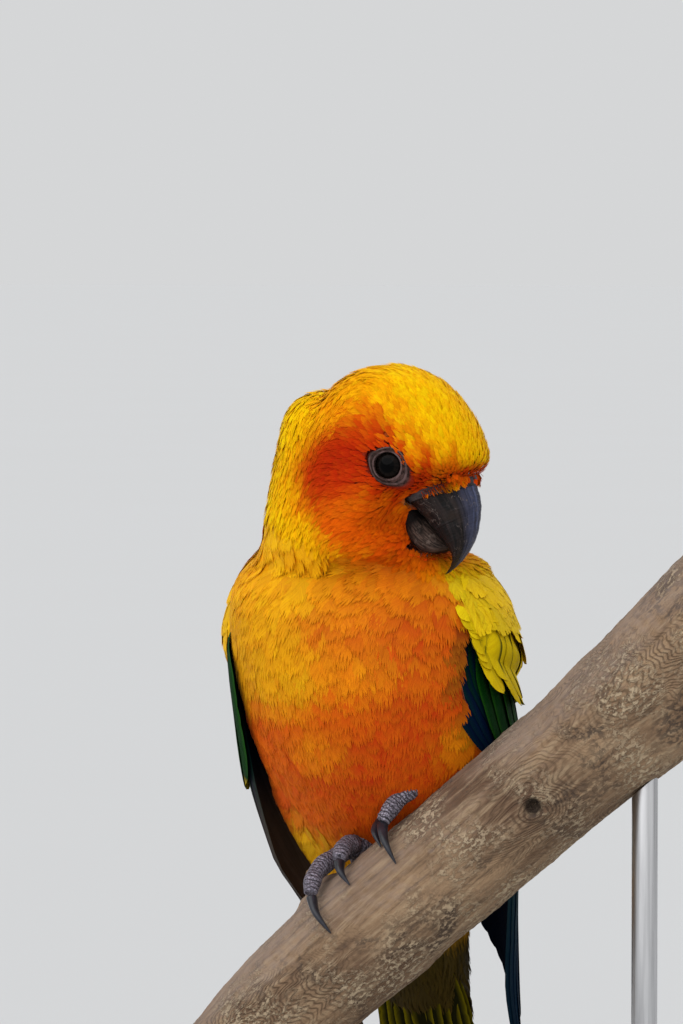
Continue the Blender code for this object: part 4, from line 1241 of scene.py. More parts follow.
def makeHeadCoat(draw, finish):
    def gapOf(points):
        near = np.linalg.norm(points - billRoot, axis=1)
        return coat["headGap"] * (0.74 + 0.34 * ease(4, 26, near))

    def allowed(points):
        return (~bareSpots(points) & (headShare(points) >= 0.5)).astype(float)

    roots = surfaceSamples(guidePoints, guideTris, gapOf, allowed, coat["seed"] + 1)
    normals = normalsAt(guideTree, roots)
    lie = unit(lieOf(roots, normals) + draw.normal(0, 0.10, roots.shape))
    f, r, u = inHead(roots)
    crown = ease(4, 12, u) * ease(-14, -6, f)
    grown = ease(2, 26, np.linalg.norm(roots - billRoot, axis=1))
    lengths = (2.4 + 3.6 * grown + 0.6 * crown) * draw.uniform(0.85, 1.15, len(roots))
    widths = (0.60 + 0.60 * grown + 0.40 * crown) * draw.uniform(0.85, 1.15, len(roots))
    lifts = coat["headLift"] * (0.75 + 0.25 * grown + 0.3 * crown) * draw.uniform(0.85, 1.2, len(roots))
    # small and flat round the eye, and uneven where the head's feathers meet the body's
    eye = np.hypot(f - eyePlace[0], u - eyePlace[1]) + (np.abs(r) < 6) * 20
    lengths *= 0.55 + 0.45 * ease(5, 10, eye)
    widths *= 0.5 + 0.5 * ease(5, 8, eye)
    lifts *= 0.6 + 0.4 * ease(5, 9, eye)
    collar = 1 - ease(0.5, 0.85, headShare(roots))
    lifts *= 1 - 0.65 * collar
    lengths *= 1 + collar * draw.uniform(-0.45, 0.25, len(roots))
    lines, lineNormals = march(guideTree, roots, lie, lengths, 4, 0.32)
    tint = coatTint(roots + lie * 0.8, draw, 0.08, 0.12)
    shapes = featherShapes(70, 9, [0, 0.25, 0.45], [0.3, 0.55, 0.35], coat["headBarbs"], 0.3, 0.7, 0.045,
                           0.42)
    for n, rows in enumerate(np.array_split(np.argsort(-f), 3)):
        layFeathers(f"coat_head_{n + 1}", lines[rows], lineNormals[rows], widths[rows], lifts[rows], shapes,
                    tint[rows], finish, 31 + n, "head_feathers", tipShare=0.04)


def makeCoat():
    bodyFinish = featherMaterial("contourFeathers", 0.7, 0.02, 16.0, 0.15)
    headFinish = featherMaterial("faceFeathers", 0.7, 0.02, 9.0, 0.1, shine=0.03)
    draw = np.random.default_rng(coat["seed"])
    makeBodyCoat(draw, bodyFinish)
    makeHeadCoat(draw, headFinish)
    makeBristles(headFinish)
    makeTufts(bodyFinish)
    return bodyFinish


def makeBristles(finish):
    # short loose feathers round the bill's root, that point out over the horn
    def gapOf(points):
        return np.full(len(points), 0.55)

    def allowed(points):
        f, _, u = inHead(points)
        rim = inBill(points, 0.8) & ~inBill(points, -1.4)
        brow = inBill(points, 0.8) & ~inBill(points, -3.4) & (f > 16) & (u > -6)
        return ((rim & (((u > -7) & (f > 11)) | (u < -20.5))) | brow).astype(float)

    roots = surfaceSamples(guidePoints, guideTris, gapOf, allowed, 301)
    draw = np.random.default_rng(302)
    normals = normalsAt(guideTree, roots)
    f, _, u = inHead(roots)
    above = ease(-9, -4, u)
    front = ease(16, 21, f) * above
    ahead = np.tile(headAhead, (len(roots), 1)) * (0.7 + 0.3 * above - 0.8 * front)[:, None]
    ahead[:, 2] += -0.25 - 0.35 * (1 - above) - 0.75 * front
    way = unit(ahead + (0.45 - 0.30 * front)[:, None] * normals + draw.normal(0, 0.24, roots.shape))
    lengths = (1.2 + 0.3 * above + 1.0 * front) * draw.uniform(0.7, 1.2, len(roots))
    at = np.linspace(0, 1, 5)[None, :, None]
    lines = roots[:, None] + way[:, None] * lengths[:, None, None] * at
    lines = overBill(lines + normals[:, None] * (0.5 - 0.4 * front)[:, None, None])
    widths = (0.5 + 0.4 * front) * draw.uniform(0.8, 1.2, len(roots))
    tint = markings(roots - headAhead * 3.5 + normals)
    red = (0.30 - 0.2 * front + 0.5 * draw.random(len(roots)))[:, None]
    tint = tint * (1 - red) + np.array(tones["fire"]) * red
    shapes = featherShapes(170, 5, [0, 0.25, 0.45], [0.3, 0.5, 0.3], 9, 0.3, 0.8, 0.05, 0.45)
    layFeathers("coat_bristles", lines, np.repeat(normals[:, None], 5, axis=1), widths,
                np.full(len(roots), 0.3), shapes, tint, finish, 303, "head_feathers")


def makeTufts(finish):
    # loose yellow feathers that hang from the right flank, past the wing
    draw = np.random.default_rng(311)
    count = 110
    angle = draw.uniform(-88, -46, count)
    height = draw.uniform(116, 140, count)
    roots = bodyPoint(angle, height, -0.6)
    way = np.tile(np.array([-0.62, 0.10, -1.0]), (count, 1)) + draw.normal(0, 0.09, (count, 3))
    lengths = 14.0 * draw.uniform(0.7, 1.15, count)
    lines, lineNormals = march(guideTree, roots, unit(way), lengths, 5, 0.10)
    widths = 2.6 * draw.uniform(0.8, 1.2, count)
    share = ease(126, 136, height)[:, None]
    tint = np.array(tones["vent"]) * (1 - share) + markings(roots) * share
    tint = tint * draw.uniform(0.85, 1.1, (count, 1))
    shapes = featherShapes(190, 5, [0, 0.2, 0.4, 0.55], [0.3, 0.6, 0.7, 0.45], 48, 0.34)
    layFeathers("coat_flank_tufts", lines, lineNormals, widths, np.full(count, 1.2), shapes, tint, finish,
                312, "body_feathers")


contourFinish = makeCoat()


# Wings: a core, and long vanes in tiers over it

wing = {
    "top": 190.2,
    "core": [(140, 1.6), (148, 3.0), (158, 5.2), (167, 6.4), (175, 6.8), (181, 6.4), (185, 5.6), (188, 4.2),
             (191, 2.2)],
    # the coverts' lower edge: across the wing, height
    "covertEdge": {1: [(0, 180), (0.12, 171), (0.22, 164), (0.5, 158), (1.0, 146)],
                   -1: [(0, 168), (0.36, 156), (0.9, 145), (1.0, 143)]},
    # tier: count, track of the roots, track of the tips, widest, height off the flank, lift, stack,
    # least height
    "left": {
        "primary": (10, [(0.05, 178), (0.46, 160)], [(0.10, 58), (0.90, 98)], 8.6, 0.9, 0.4, 0.16, 0),
        "wrist": (7, [(0.00, 187), (0.26, 180)], [(0.03, 146), (0.30, 140)], 5.6, 2.0, 0.2, 0.06, 0),
        "secondary": (11, [(0.24, 178), (0.92, 169)], [(0.06, 118), (0.94, 122)], 7.0, 2.7, 0.5, 0.10, 0),
        "greater": (17, [(0.06, 188), (0.10, 184), (0.17, 180), (0.34, 176), (0.78, 170)],
                    [(0.09, 179), (0.16, 171), (0.24, 164), (0.5, 158), (0.96, 146)],
                    5.4, 0.5, 0.9, 0.01, 4.4),
        "median": (14, [(0.07, 190), (0.18, 188), (0.36, 185), (0.82, 181)],
                   [(0.12, 184), (0.26, 176), (0.5, 170), (0.96, 160)], 5.0, 1.1, 0.7, 0.01, 5.2),
    },
    "right": {
        "primary": (10, [(0.04, 176), (0.46, 160)], [(0.06, 58), (0.90, 98)], 8.6, 0.9, 0.4, 0.16, 0),
        "secondary": (10, [(0.02, 182), (0.92, 169)], [(0.04, 138), (0.94, 122)], 8.6, 2.0, 0.3, 0.12, 0),
        "greater": (12, [(0.34, 180), (0.90, 176)], [(0.36, 156), (0.92, 144)], 6.4, 0.5, 0.5, 0.02, 3.8),
        "median": (12, [(0.34, 187), (0.90, 184)], [(0.36, 168), (0.92, 160)], 5.4, 1.1, 0.5, 0.02, 4.6),
    },
    "rows": 30, "columns": [-1, -0.82, -0.6, -0.36, -0.12, 0, 0.12, 0.36, 0.6, 0.82, 1],
    "tilt": -0.7,
}

wingTones = {
    "navy": (0.0012, 0.009, 0.040), "black": (0.0006, 0.001, 0.003), "green": (0.002, 0.034, 0.004),
    "leaf": (0.02, 0.12, 0.005), "teal": (0.002, 0.022, 0.022), "lemon": (0.76, 0.56, 0.005),
    "gold": (0.92, 0.50, 0.003),
    "brown": (0.13, 0.082, 0.055), "olive": (0.014, 0.014, 0.003), "slate": (0.008, 0.025, 0.05),
    "straw": (0.34, 0.28, 0.004),
}


def vaneTone(tier, place, side, u, v):
    # the colour over one long feather: place 0 is the front of the tier, u runs to the tip, v from front
    # to back
    u, v = np.broadcast_arrays(u, v)
    ground = "black"
    if tier in ("primary", "wrist"):
        coats = [("navy", 0.85 - 0.5 * ease(-0.2, 0.9, v)),
                 ("teal", ease(-0.3, -0.9, v) * (0.35 + 0.4 * (1 - u)) * (1 - 0.5 * place)),
                 ("green", ease(-0.1, -0.9, v) * ease(0.75, 0.35, u) * (0.3 + 0.6 * place))]
        if side < 0:
            coats.append(("brown", ease(0.25, 0.45, u) * (0.45 + 0.5 * ease(-0.5, 0.6, v))))
    elif tier == "secondary":
        coats = [("green", ease(0.75, -0.15, v) * ease(1.0, 0.9, u)),
                 ("leaf", ease(-0.6, -1.0, v) * 0.5 * ease(1.0, 0.75, u)),
                 ("lemon", ease(-0.8, -1.0, v) * ease(0.4, 0.7, place) * ease(0.3, 0.6, u))]
        if side < 0:
            coats.append(("lemon", ease(0.93, 1.0, u) * 0.7))
    elif tier == "greater":
        edge = np.maximum(ease(0.3, 0.7, np.abs(v)), ease(0.55, 0.8, u))
        streak = (1 - ease(0.05, 0.30, np.abs(v - 0.15))) * ease(0.97, 0.75, u)
        coats = [("green", 1), ("lemon", edge + 0.93),
                 ("green", streak * (0.10 + 0.85 * ((place * 7) % 1.0 > 0.62)))]
    elif tier == "median":
        streak = (1 - ease(0.03, 0.20, np.abs(v))) * ease(0.95, 0.75, u)
        coats = [("lemon", 1), ("gold", 0.25), ("green", streak * (0.08 + 0.6 * ((place * 5) % 1.0 > 0.7)))]
    elif tier == "rectrix":
        ground, coats = "olive", [("slate", ease(0.72, 1.0, u))]
    else:
        rim = np.maximum(ease(0.70, 1.0, np.abs(v)), ease(0.90, 1.0, u))
        ground, coats = "olive", [("straw", rim * 0.55)]
    colour = np.zeros(u.shape + (3,)) + np.array(wingTones[ground])
    for tone, share in coats:
        share = np.clip(share * np.ones(u.shape), 0, 1)[..., None]
        colour = colour * (1 - share) + np.array(wingTones[tone]) * share
    return colour


def vaneWidth(tier, u):
    widest, narrows, power = (0.4, 0.55, 2.2) if tier == "primary" else (0.5, 0.74, 2)
    rise = 0.35 + 0.65 * np.sin(np.minimum(u / widest, 1) * math.pi / 2)
    fall = np.sqrt(np.maximum(1 - np.maximum((u - narrows) / (1 - narrows), 0) ** power, 0))
    return rise * (0.03 + 0.97 * fall)


def makeVanes(name, surface, feathers, finish, slotName, seed, *nodes):
    # feathers: dicts with root, tip, width, out, lift, tier, place, side; surface gives points
    draw = np.random.default_rng(seed)
    columns = np.array(wing["columns"], float)
    rows = wing["rows"]
    cells = math.ceil(math.sqrt(len(feathers)))
    points, faces, colours, vanes, cellsMap = [], [], [], [], []
    total = 0
    for n, feather in enumerate(feathers):
        u = np.linspace(0, 1, rows)[:, None]
        v = columns[None, :]
        nick = 1 - 0.04 * np.abs(np.sin(u * 31 + draw.uniform(0, 6))) * draw.uniform(0.2, 1.0)
        for _ in range(2):
            at = draw.uniform(0.35, 0.95)
            nick = nick - 0.10 * np.exp(-((u - at) / 0.012) ** 2)
        edge = vaneWidth(feather["tier"], u) * nick
        reach = v * edge * feather["width"] / 2
        slant = np.abs(v) * 0.03 * ease(0.2, 0.6, u) * (1 - ease(0.9, 1.0, u))
        uu = np.clip(u + slant, 0, 1)
        out = feather["out"] + feather["lift"] * u + wing["tilt"] * feather.get("tilt", 1.0) * v * 0.5
        out = out - 0.25 * v ** 2 * edge + 0.10 * np.exp(-(v / 0.1) ** 2) * (1 - u)
        out = out + 0.10 * np.sin(u * 9 + draw.uniform(0, 6)) * v
        points.append(surface(feather, uu, reach, out).reshape(-1, 3))
        faces.append(gridFaces(rows, len(columns), start=total))
        tone = vaneTone(feather["tier"], feather["place"], feather["side"], u, v)
        tone = tone * draw.uniform(0.85, 1.15)
        shaft = np.exp(-(v / 0.09) ** 2) * (1 - u * 0.6) * 0.35
        tone = tone * (1 - shaft[..., None]) + np.array([0.02, 0.016, 0.012]) * shaft[..., None]
        colours.append(tone.reshape(-1, 3))
        flat = np.stack(np.broadcast_arrays(v * 0.5 + 0.5, u), -1)
        vanes.append((flat + np.array([0, draw.uniform(0, 10)])).reshape(-1, 2))
        cell = np.array([n % cells, n // cells]) + 0.04
        cellsMap.append(((flat * 0.92 + cell) / cells).reshape(-1, 2))
        total += rows * len(columns)
    made = buildMesh(name, np.concatenate(points), np.concatenate(faces), finish, np.concatenate(colours),
                     {"OFBake": np.concatenate(cellsMap), "vane": np.concatenate(vanes)})
    flipToOutside(made)
    finishPiece(made, slotName, *nodes)
    report(f"{name}: {len(feathers)} vanes, {len(made.data.polygons)} faces")


def flipToOutside(made):
    # a sheet's faces look away from the body's axis
    mesh = made.data
    total = 0.0
    for index in range(0, len(mesh.polygons), max(1, len(mesh.polygons) // 400)):
        polygon = mesh.polygons[index]
        spot = polygon.center / mm
        axis = np.array([0, np.interp(spot[2], [40, 100, 160], [55, 28, 2])])
        away = np.array([spot[0] - axis[0], spot[1] - axis[1]])
        total += polygon.normal[0] * away[0] + polygon.normal[1] * away[1]
    if total < 0:
        mesh.flip_normals()


def coreHeight(side, across, height):
    # how far the wing's core stands off the flank: it thins out where the coverts end
    edge = np.array(wing["covertEdge"][side])
    lowest = np.interp(across, edge[:, 0], edge[:, 1])
    thick = np.interp(height, [row[0] for row in wing["core"]], [row[1] for row in wing["core"]])
    rounded = np.sqrt(np.maximum(1 - (2 * np.clip(across, 0, 1) - 1) ** 4, 0))
    return 0.6 + (thick - 0.6) * rounded * ease(lowest + 1, lowest + 11, height)


def wingSurface(feather, u, reach, out):
    side = feather["side"]
    root, tip = feather["root"], feather["tip"]
    a = root[0] + (tip[0] - root[0]) * u
    height = root[1] + (tip[1] - root[1]) * u
    shape = np.broadcast_arrays(u, reach)[0].shape
    a, height, reach, out, u = (np.broadcast_to(v, shape).ravel() for v in (a, height, reach, out, u))
    front = frontEdge(height, side)
    middle = front * (1 - a) + backEdge(height) * a
    turn = np.degrees(reach / flankReach(side * middle, height))
    raised = out + frontRaise(middle + turn, height, side)
    if feather["least"]:
        across = (middle + turn - front) / (backEdge(height) - front)
        core = coreHeight(side, across, height)
        least = feather["least"] * ease(0.6, 2.0, core + 2 * u)
        raised = np.maximum(raised + core, raised - feather["out"] + least)
    made = flankPoint(side * (middle + turn), height, np.maximum(raised, 0.35))
    return made.reshape(shape + (3,))


def along(track, share):
    # the spot a share of the way down a track, its knots evenly spread
    track = np.array(track, float)
    knots = np.linspace(0, 1, len(track))
    return np.array([np.interp(share, knots, track[:, 0]), np.interp(share, knots, track[:, 1])])


def makeWing(side, label):
    feathers = []
    draw = np.random.default_rng(90 + side)
    tiers = wing["left" if side > 0 else "right"]
    for tier, (count, roots, tips, width, out, lift, stack, least) in tiers.items():
        for i in range(count):
            share = i / (count - 1)
            root, tip = along(roots, share), along(tips, share)
            tip = tip + draw.normal(0, 1, 2) * (0.006, 1.6 if least else 0.8)
            feathers.append({"tier": tier, "place": share, "side": side, "root": root, "tip": tip,
                             "least": least, "width": width * draw.uniform(0.95, 1.05),
                             "out": out + stack * i, "lift": lift})
    node = "wing_" + label
    makeVanes(node + "_vanes", wingSurface, feathers, flightFinish, "wing_feathers", 50 + side, node)

    # the core that the vanes spring from
    across = np.linspace(0, 1, 30)
    rings = []
    for height in np.linspace(wing["top"], wing["core"][0][0], 34):
        outer = wingPoint(side, across, height, coreHeight(side, across, np.full(30, height)))
        rings.append(np.concatenate([outer, wingPoint(side, across[::-1], height, 0.35)]))
    finish = mottledFinish("wingDown_" + label, 120.0, (0.34, 0.24, 0.005), (0.5, 0.33, 0.008), 0.8, 0.4,
                           0.0006)
    core = loftMesh(node + "_core", rings, finish)
    finishPiece(core, "wing_feathers", node)
    makeCoverts(core, side, node, draw)


def makeCoverts(core, side, node, draw):
    # small coverts over the shoulder, on the wing's core
    def gapOf(points):
        return np.full(len(points), 1.8)

    def allowed(points):
        height = points[:, 2]
        angle, out = flankAngle(points)
        lifted = out - flankReach(angle, height)
        lowest = 182 if side > 0 else 170
        return ((lifted > 1.3) & (height > lowest) & (height < 189)).astype(float)

    roots = surfaceSamples(*meshParts(core.data), gapOf, allowed, 60 + side)
    way = np.tile(np.array([0.0, 0.30, -1.0]), (len(roots), 1)) + draw.normal(0, 0.10, roots.shape)
    lengths = 9.5 * draw.uniform(0.85, 1.15, len(roots))
    widths = 2.5 * draw.uniform(0.85, 1.15, len(roots))
    lifts = 0.55 * draw.uniform(0.8, 1.2, len(roots))
    lines, lineNormals = march(treeOf(core), roots, way, lengths, 5, 0.25)
    lines = lines + lineNormals * 1.5
    gold, lemon = np.array(wingTones["gold"]), np.array(wingTones["lemon"])
    share = (0.6 + 0.4 * ease(188, 178, roots[:, 2:])) * (1.0 if side > 0 else 0.15)
    tint = (gold * (1 - share) + lemon * share) * draw.uniform(0.88, 1.1, (len(roots), 1))
    shapes = featherShapes(140, 5, [0, 0.2, 0.45, 0.65, 0.8], [0.3, 0.75, 1.0, 0.95, 0.62], 16, 0.34, 0.6,
                           0.05)
    layFeathers(node + "_coverts", lines, lineNormals, widths, lifts, shapes, tint, contourFinish,
                70 + side, "wing_feathers", camber=0.3)


flightFinish = featherMaterial("flightFeathers", 0.6, 0.0, 130.0, 0.2, 0.35, 0.02)
makeWing(1, "L")
makeWing(-1, "R")


# Tail

tail = {
    "length": 128.0, "slope": 27.0, "root": np.array([0, 15.6, 128.0]), "start": 30.0, "pairs": 6,
    "width": 8.6, "step": 0.75,
    # the flesh of its root: distance, half width, half depth, drop
    "flesh": [(16, 14, 12, -1.5), (24, 13, 10.5, -1.4), (32, 11.6, 8.6, -1.2), (40, 10.4, 6.4, -1.1),
              (48, 9.4, 4.0, -1), (56, 8.4, 1.6, -0.8)],
    # count, length, spread, height off the tail, drop
    "coverts": [(9, 42, 8.4, -4.4, 0.6), (8, 32, 7.6, -5.8, 0.5), (9, 34, 6.4, 2.8, -0.4),
                (8, 24, 6.0, 4.0, -0.4)],
}


def tailPoint(distance, across, height):
    slope = math.radians(tail["slope"])
    along = np.array([0, math.sin(slope), -math.cos(slope)])
    up = np.array([0, math.cos(slope), math.sin(slope)])
    distance, across, height = (np.asarray(v)[..., None] for v in (distance, across, height))
    return tail["root"] + distance * along + across * np.array([1.0, 0, 0]) + height * up


def tailSurface(feather, u, reach, out):
    middle = feather["rootAcross"] + (feather["tipAcross"] - feather["rootAcross"]) * u
    distance = feather["start"] + feather["length"] * u
    shape = np.broadcast_arrays(u, reach)[0].shape
    spread = [np.broadcast_to(v, shape) for v in (distance, feather["side"] * (middle + reach), out)]
    return tailPoint(*spread)


def makeTail():
    draw = np.random.default_rng(5)
    feathers = []
    for i in range(tail["pairs"]):
        share = i / (tail["pairs"] - 1)
        length = tail["length"] * (1 - 0.42 * share ** 1.2) - tail["start"]
        out = tail["width"] / 2 * 0.55 + 4.9 * share if i else 2.2
        for side in (-1, 1):
            height = 1.4 - tail["step"] * i - (0.35 if side < 0 else 0.0)
            feathers.append({"tier": "rectrix", "place": share, "side": side, "start": tail["start"],
                             "length": length, "rootAcross": 0.6 * out, "tipAcross": out,
                             "width": tail["width"] * draw.uniform(0.96, 1.04),
                             "out": height, "lift": -0.4, "tilt": 0.3})
    for row, (count, length, spread, height, drop) in enumerate(tail["coverts"]):
        for i in range(count):
            across = spread * (2 * i / (count - 1) - 1)
            sag = 0.12 * abs(across) * math.copysign(1, height)
            feathers.append({"tier": "undertail" if row < 2 else "uppertail", "place": abs(across) / spread,
                             "side": 1, "start": 30.0 + draw.uniform(-2, 2),
                             "length": length - 0.1 * abs(across) ** 1.5 + draw.uniform(-3, 3),
                             "rootAcross": 0.8 * across, "tipAcross": 1.1 * across,
                             "width": 8.0 * draw.uniform(0.9, 1.1),
                             "out": height - sag + draw.uniform(-0.3, 0.3), "lift": drop, "tilt": 0.3})
    makeVanes("tail_vanes", tailSurface, feathers, flightFinish, "tail_feathers", 44, "tail")
    a = circle(24)
    rings = [tailPoint(np.full(24, float(distance)), halfWidth * np.cos(a), drop + halfDepth * np.sin(a))
             for distance, halfWidth, halfDepth, drop in tail["flesh"]]
    finish = mottledFinish("tailRoot", 120.0, (0.25, 0.14, 0.003), (0.42, 0.25, 0.005), 0.85, 0.4, 0.0006)
    core = loftMesh("tail_root", rings, finish)
    finishPiece(core, "tail_feathers", "tail")
    makeTailCoat(core, draw)


def makeTailCoat(core, draw):
    # soft coverts that carry the body's coat down over the tail's root
    roots = surfaceSamples(*meshParts(core.data), lambda p: np.full(len(p), 2.3),
                           lambda p: ((p[:, 2] > 84) & (p[:, 2] < 113)).astype(float), 81)
    count = len(roots)
    slope = math.radians(tail["slope"])
    way = np.tile(np.array([0.0, math.sin(slope), -math.cos(slope)]), (count, 1))
    way = way + draw.normal(0, 0.1, roots.shape)
    lines, lineNormals = march(treeOf(core), roots, way, 13 * draw.uniform(0.8, 1.2, count), 5, 0.2)
    tint = markings(roots) * draw.uniform(0.75, 1.05, (count, 1))
    olive = ease(118, 104, roots[:, 2])[:, None] * 0.95
    tint = tint * (1 - olive) + np.array([0.020, 0.020, 0.004]) * olive
    shapes = featherShapes(190, 5, [0, 0.2, 0.4, 0.56, 0.7], [0.3, 0.72, 0.92, 0.85, 0.5], 18, 0.34)
    layFeathers("tail_coat", lines, lineNormals, np.full(count, 3.4), np.full(count, 1.8), shapes, tint,
                contourFinish, 82, "tail_feathers")


makeTail()


# Bill and cere

def billRing(row, grow, sides):
    ridge, edge, halfWidth = row[:2], row[2:4], row[4]
    middle, half = (ridge + edge) / 2, (ridge - edge) / 2
    size = np.linalg.norm(half)
    half = half * (size + grow) / size
    a = circle(sides)
    up = np.cos(a)
    wide = (halfWidth + grow) * np.sin(a) * (1 - 0.22 * up) / 1.02
    spot = middle[None] + half[None] * up[:, None]
    return headSpot(spot[:, 0], wide, spot[:, 1])


def hornMaterial():
    made, hand = newMaterial("billHorn")
    flow = hand.map("flow")
    place = hand.here()
    fine = mottle(hand, 160.0)[1]
    # growth lines run round the bill, fine scratches run along it
    rings = hand.grain(flow, (3.0, 46.0, 1.0), 4.0, 0.65, 0.3)
    streaks = hand.grain(flow, (46.0, 2.0, 1.0), 3.0, 0.6, 0.5)
    tone = hand.mix(hand.span(streaks, 0.40, 0.62), (0.002, 0.0015, 0.0015), (0.020, 0.013, 0.012))
    tone = hand.mix(hand.span(rings, 0.52, 0.70, 0.0, 0.4), tone, (0.034, 0.028, 0.030))
    # painted highlight: the ridge is paler and bluer, a blue sheen painted along it
    ridge = hand.span(hand.gap(hand.axes(flow)[0], 0.5), 0.33, 0.48)
    ridge = hand.times(ridge, hand.span(streaks, 0.30, 0.6))
    tone = hand.mix(hand.times(ridge, 0.8), tone, (0.105, 0.128, 0.245))
    # pale cracks, and brown patches
    crack = hand.gap(hand.grain(flow, (13.0, 5.0, 1.0), 4.0, 0.6, 0.4), 0.5)
    crack = hand.span(crack, 0.0, 0.007, 1.0, 0.0)
    gaps = hand.span(hand.noise(place, 150.0, 2.0), 0.48, 0.58)
    tone = hand.mix(hand.times(crack, gaps), tone, (0.20, 0.16, 0.14))
    brown = hand.span(hand.noise(place, 130.0, 3.0), 0.56, 0.7, 0.0, 0.6)
    tone = hand.mix(brown, tone, (0.034, 0.020, 0.014))
    height = hand.math("ADD", hand.times(rings, 0.6), hand.times(streaks, 0.4))
    hand.output(tone, hand.span(fine, 0, 1, 0.36, 0.52), height, 0.8, 0.0008, Specular_IOR_Level=0.16)
    return made


def lowerHornMaterial():
    # the lower bill is browner, rough and flaked, with painted shade at its back and underside
    made, hand = newMaterial("wornHorn")
    place = hand.here()
    flow = hand.map("flow")
    flakes = hand.noise(place, 420.0, 5.0, 0.7)
    broad = hand.noise(place, 170.0, 3.0, 0.6)
    streaks = hand.grain(flow, (60.0, 5.0, 1.0), 4.0, 0.6, 0.6)
    tone = hand.mix(hand.span(broad, 0.35, 0.62), (0.014, 0.009, 0.007), (0.075, 0.048, 0.038))
    tone = hand.mix(hand.span(streaks, 0.50, 0.62, 0.0, 0.45), tone, (0.15, 0.10, 0.08))
    tone = hand.mix(hand.span(streaks, 0.46, 0.38, 0.0, 0.6), tone, (0.008, 0.005, 0.004))
    tone = hand.mix(hand.span(flakes, 0.58, 0.66, 0.0, 0.5), tone, (0.19, 0.14, 0.115))
    along = hand.axes(flow)
    # painted shade: the back and the underside are darkened to near black, where the mouth corner and the
    # underside lie in shadow
    shadedBack = hand.math("ADD", along[1], hand.times(broad, 0.2))
    under = hand.gap(along[0], 0.5)
    under = hand.math("ADD", under, hand.times(broad, 0.08))
    dark = hand.math("MAXIMUM", hand.span(shadedBack, 0.46, 0.32), hand.span(under, 0.24, 0.14))
    # the near black laid here is painted shade
    tone = hand.mix(hand.times(dark, 0.95), tone, (0.003, 0.002, 0.002))
    hand.output(tone, 0.7, flakes, 0.8, 0.0006, Specular_IOR_Level=0.12)
    return made


def flowMap(rows, sides):
    # round the piece from 0 to 1, and along it from 0 to 1
    return np.stack(np.meshgrid(np.linspace(0, 1, sides, endpoint=False), np.linspace(0, 1, rows)), -1)


def makeUpperBill():
    t = np.concatenate([np.linspace(0.9, 6.4, bill["rings"] - 10), np.linspace(6.5, 7.0, 10)])
    rings = []
    for at, row in zip(t, upperRow(t)):
        lip = 0.10 * math.sin(at * 9.0) + 0.06 * math.sin(at * 23 + 1)
        rings.append(billRing(row, lip * 0.5 * (1 - ease(6.0, 7.0, at)), bill["sides"]))
    made = loftMesh("bill_upper_horn", rings, hornMaterial(), {"flow": flowMap(len(rings), bill["sides"])})
    finishPiece(made, "bill_horn", "bill_upper")


def makeLowerBill():
    lower = np.array(bill["lower"])
    distance = np.linspace(0, 13.4, 36)
    depth = smoothBetween(lower[:, 0], lower[:, 1], distance)
    width = smoothBetween(lower[:, 0], lower[:, 2], distance)
    fade = np.sqrt(np.maximum(1 - np.maximum((distance - 11.6) / 1.8, 0) ** 2, 0.01))
    start, ahead, down = (np.array(bill[key]) for key in ("lowerStart", "ahead", "down"))
    a = circle(40)
    rings = []
    for k in range(len(distance)):
        fall = depth[k] / 2 * fade[k] * (1 - np.sign(np.cos(a)) * np.abs(np.cos(a)) ** 0.8)
        spot = (start + ahead * distance[k])[None] + down[None] * fall[:, None]
        wide = (width[k] + 0.3) * fade[k] * np.sign(np.sin(a)) * np.abs(np.sin(a)) ** 0.7
        rings.append(headSpot(spot[:, 0], wide, spot[:, 1]))
    made = loftMesh("bill_lower_horn", rings, lowerHornMaterial(), {"flow": flowMap(len(rings), 40)})
    finishPiece(made, "bill_horn", "bill_lower")


def makeCere():
    # a swollen band over the bill's root, with a nostril in each side
    t = np.linspace(0, 0.92, 22)
    rings = []
    for at, row in zip(t, upperRow(t)):
        ring = billRing(row, 0.1 + 0.35 * math.sin(math.pi * min(at / 0.92, 1) ** 0.8), 72)
        f, r, u = inHead(ring)
        pit = np.exp(-(((f - 18.6) / 1.0) ** 2 + ((np.abs(r) - 3.3) / 1.0) ** 2 + ((u + 3.0) / 1.1) ** 2))
        rings.append(ring + unit(ring.mean(0) - ring) * (1.3 * pit)[:, None])
    finish = mottledFinish("cereSkin", 420.0, (0.030, 0.026, 0.028), (0.10, 0.088, 0.09), 0.62, 0.6, 0.0005,
                           Specular_IOR_Level=0.2)
    finishPiece(loftMesh("cere_skin", rings, finish), "bare_skin", "cere")


makeUpperBill()
makeLowerBill()
makeCere()
report("bill and cere")


# Eyes and lids

eyes = {
    "out": 10.2, "radius": 4.7,
    # the lids' section: distance from the eye's middle, height above its centre
    "lids": [(5.3, 1.2), (5.2, 2.0), (4.9, 2.9), (4.6, 3.55), (4.35, 3.95), (4.15, 4.0), (3.95, 3.92),
             (3.75, 4.12), (3.55, 4.42), (3.35, 4.48), (3.2, 4.3), (3.1, 3.75), (3.4, 3.2), (4.3, 1.0)],
    # a flange of skin under the feathers: distance, how deep under their guide
    "flange": [(5.5, 0.3), (6.4, 0.3), (7.4, 0.5)], "turns": 96,
}


def eyeFrame(side):
    forward, high = eyePlace
    centre = headSpot(forward, side * eyes["out"], high)
    out = unit(headSpot(forward + 0.16, side * (eyes["out"] + 1), high + 0.02) - centre)
    up = unit(np.array([0, 0, 1.0]) - out * out[2])
    return centre, out, np.cross(up, out), up


def eyeMaterial():
    finish, hand = newMaterial("darkEye")
    depth = hand.map("depth")
    rim = hand.axes(depth)[1]
    spokes = hand.grain(depth, (40.0, 3.0, 1.0), 3.0, 0.6)
    iris = hand.mix(hand.span(spokes, 0.35, 0.65), (0.0015, 0.0010, 0.0008), (0.008, 0.005, 0.004))
    tone = hand.mix(hand.span(rim, 0.34, 0.40), (0.0004, 0.0004, 0.0005), iris)
    tone = hand.mix(hand.span(rim, 0.66, 0.72), tone, (0.0015, 0.0015, 0.0015))
    hand.output(tone, 0.06, Specular_IOR_Level=0.05)
    return finish


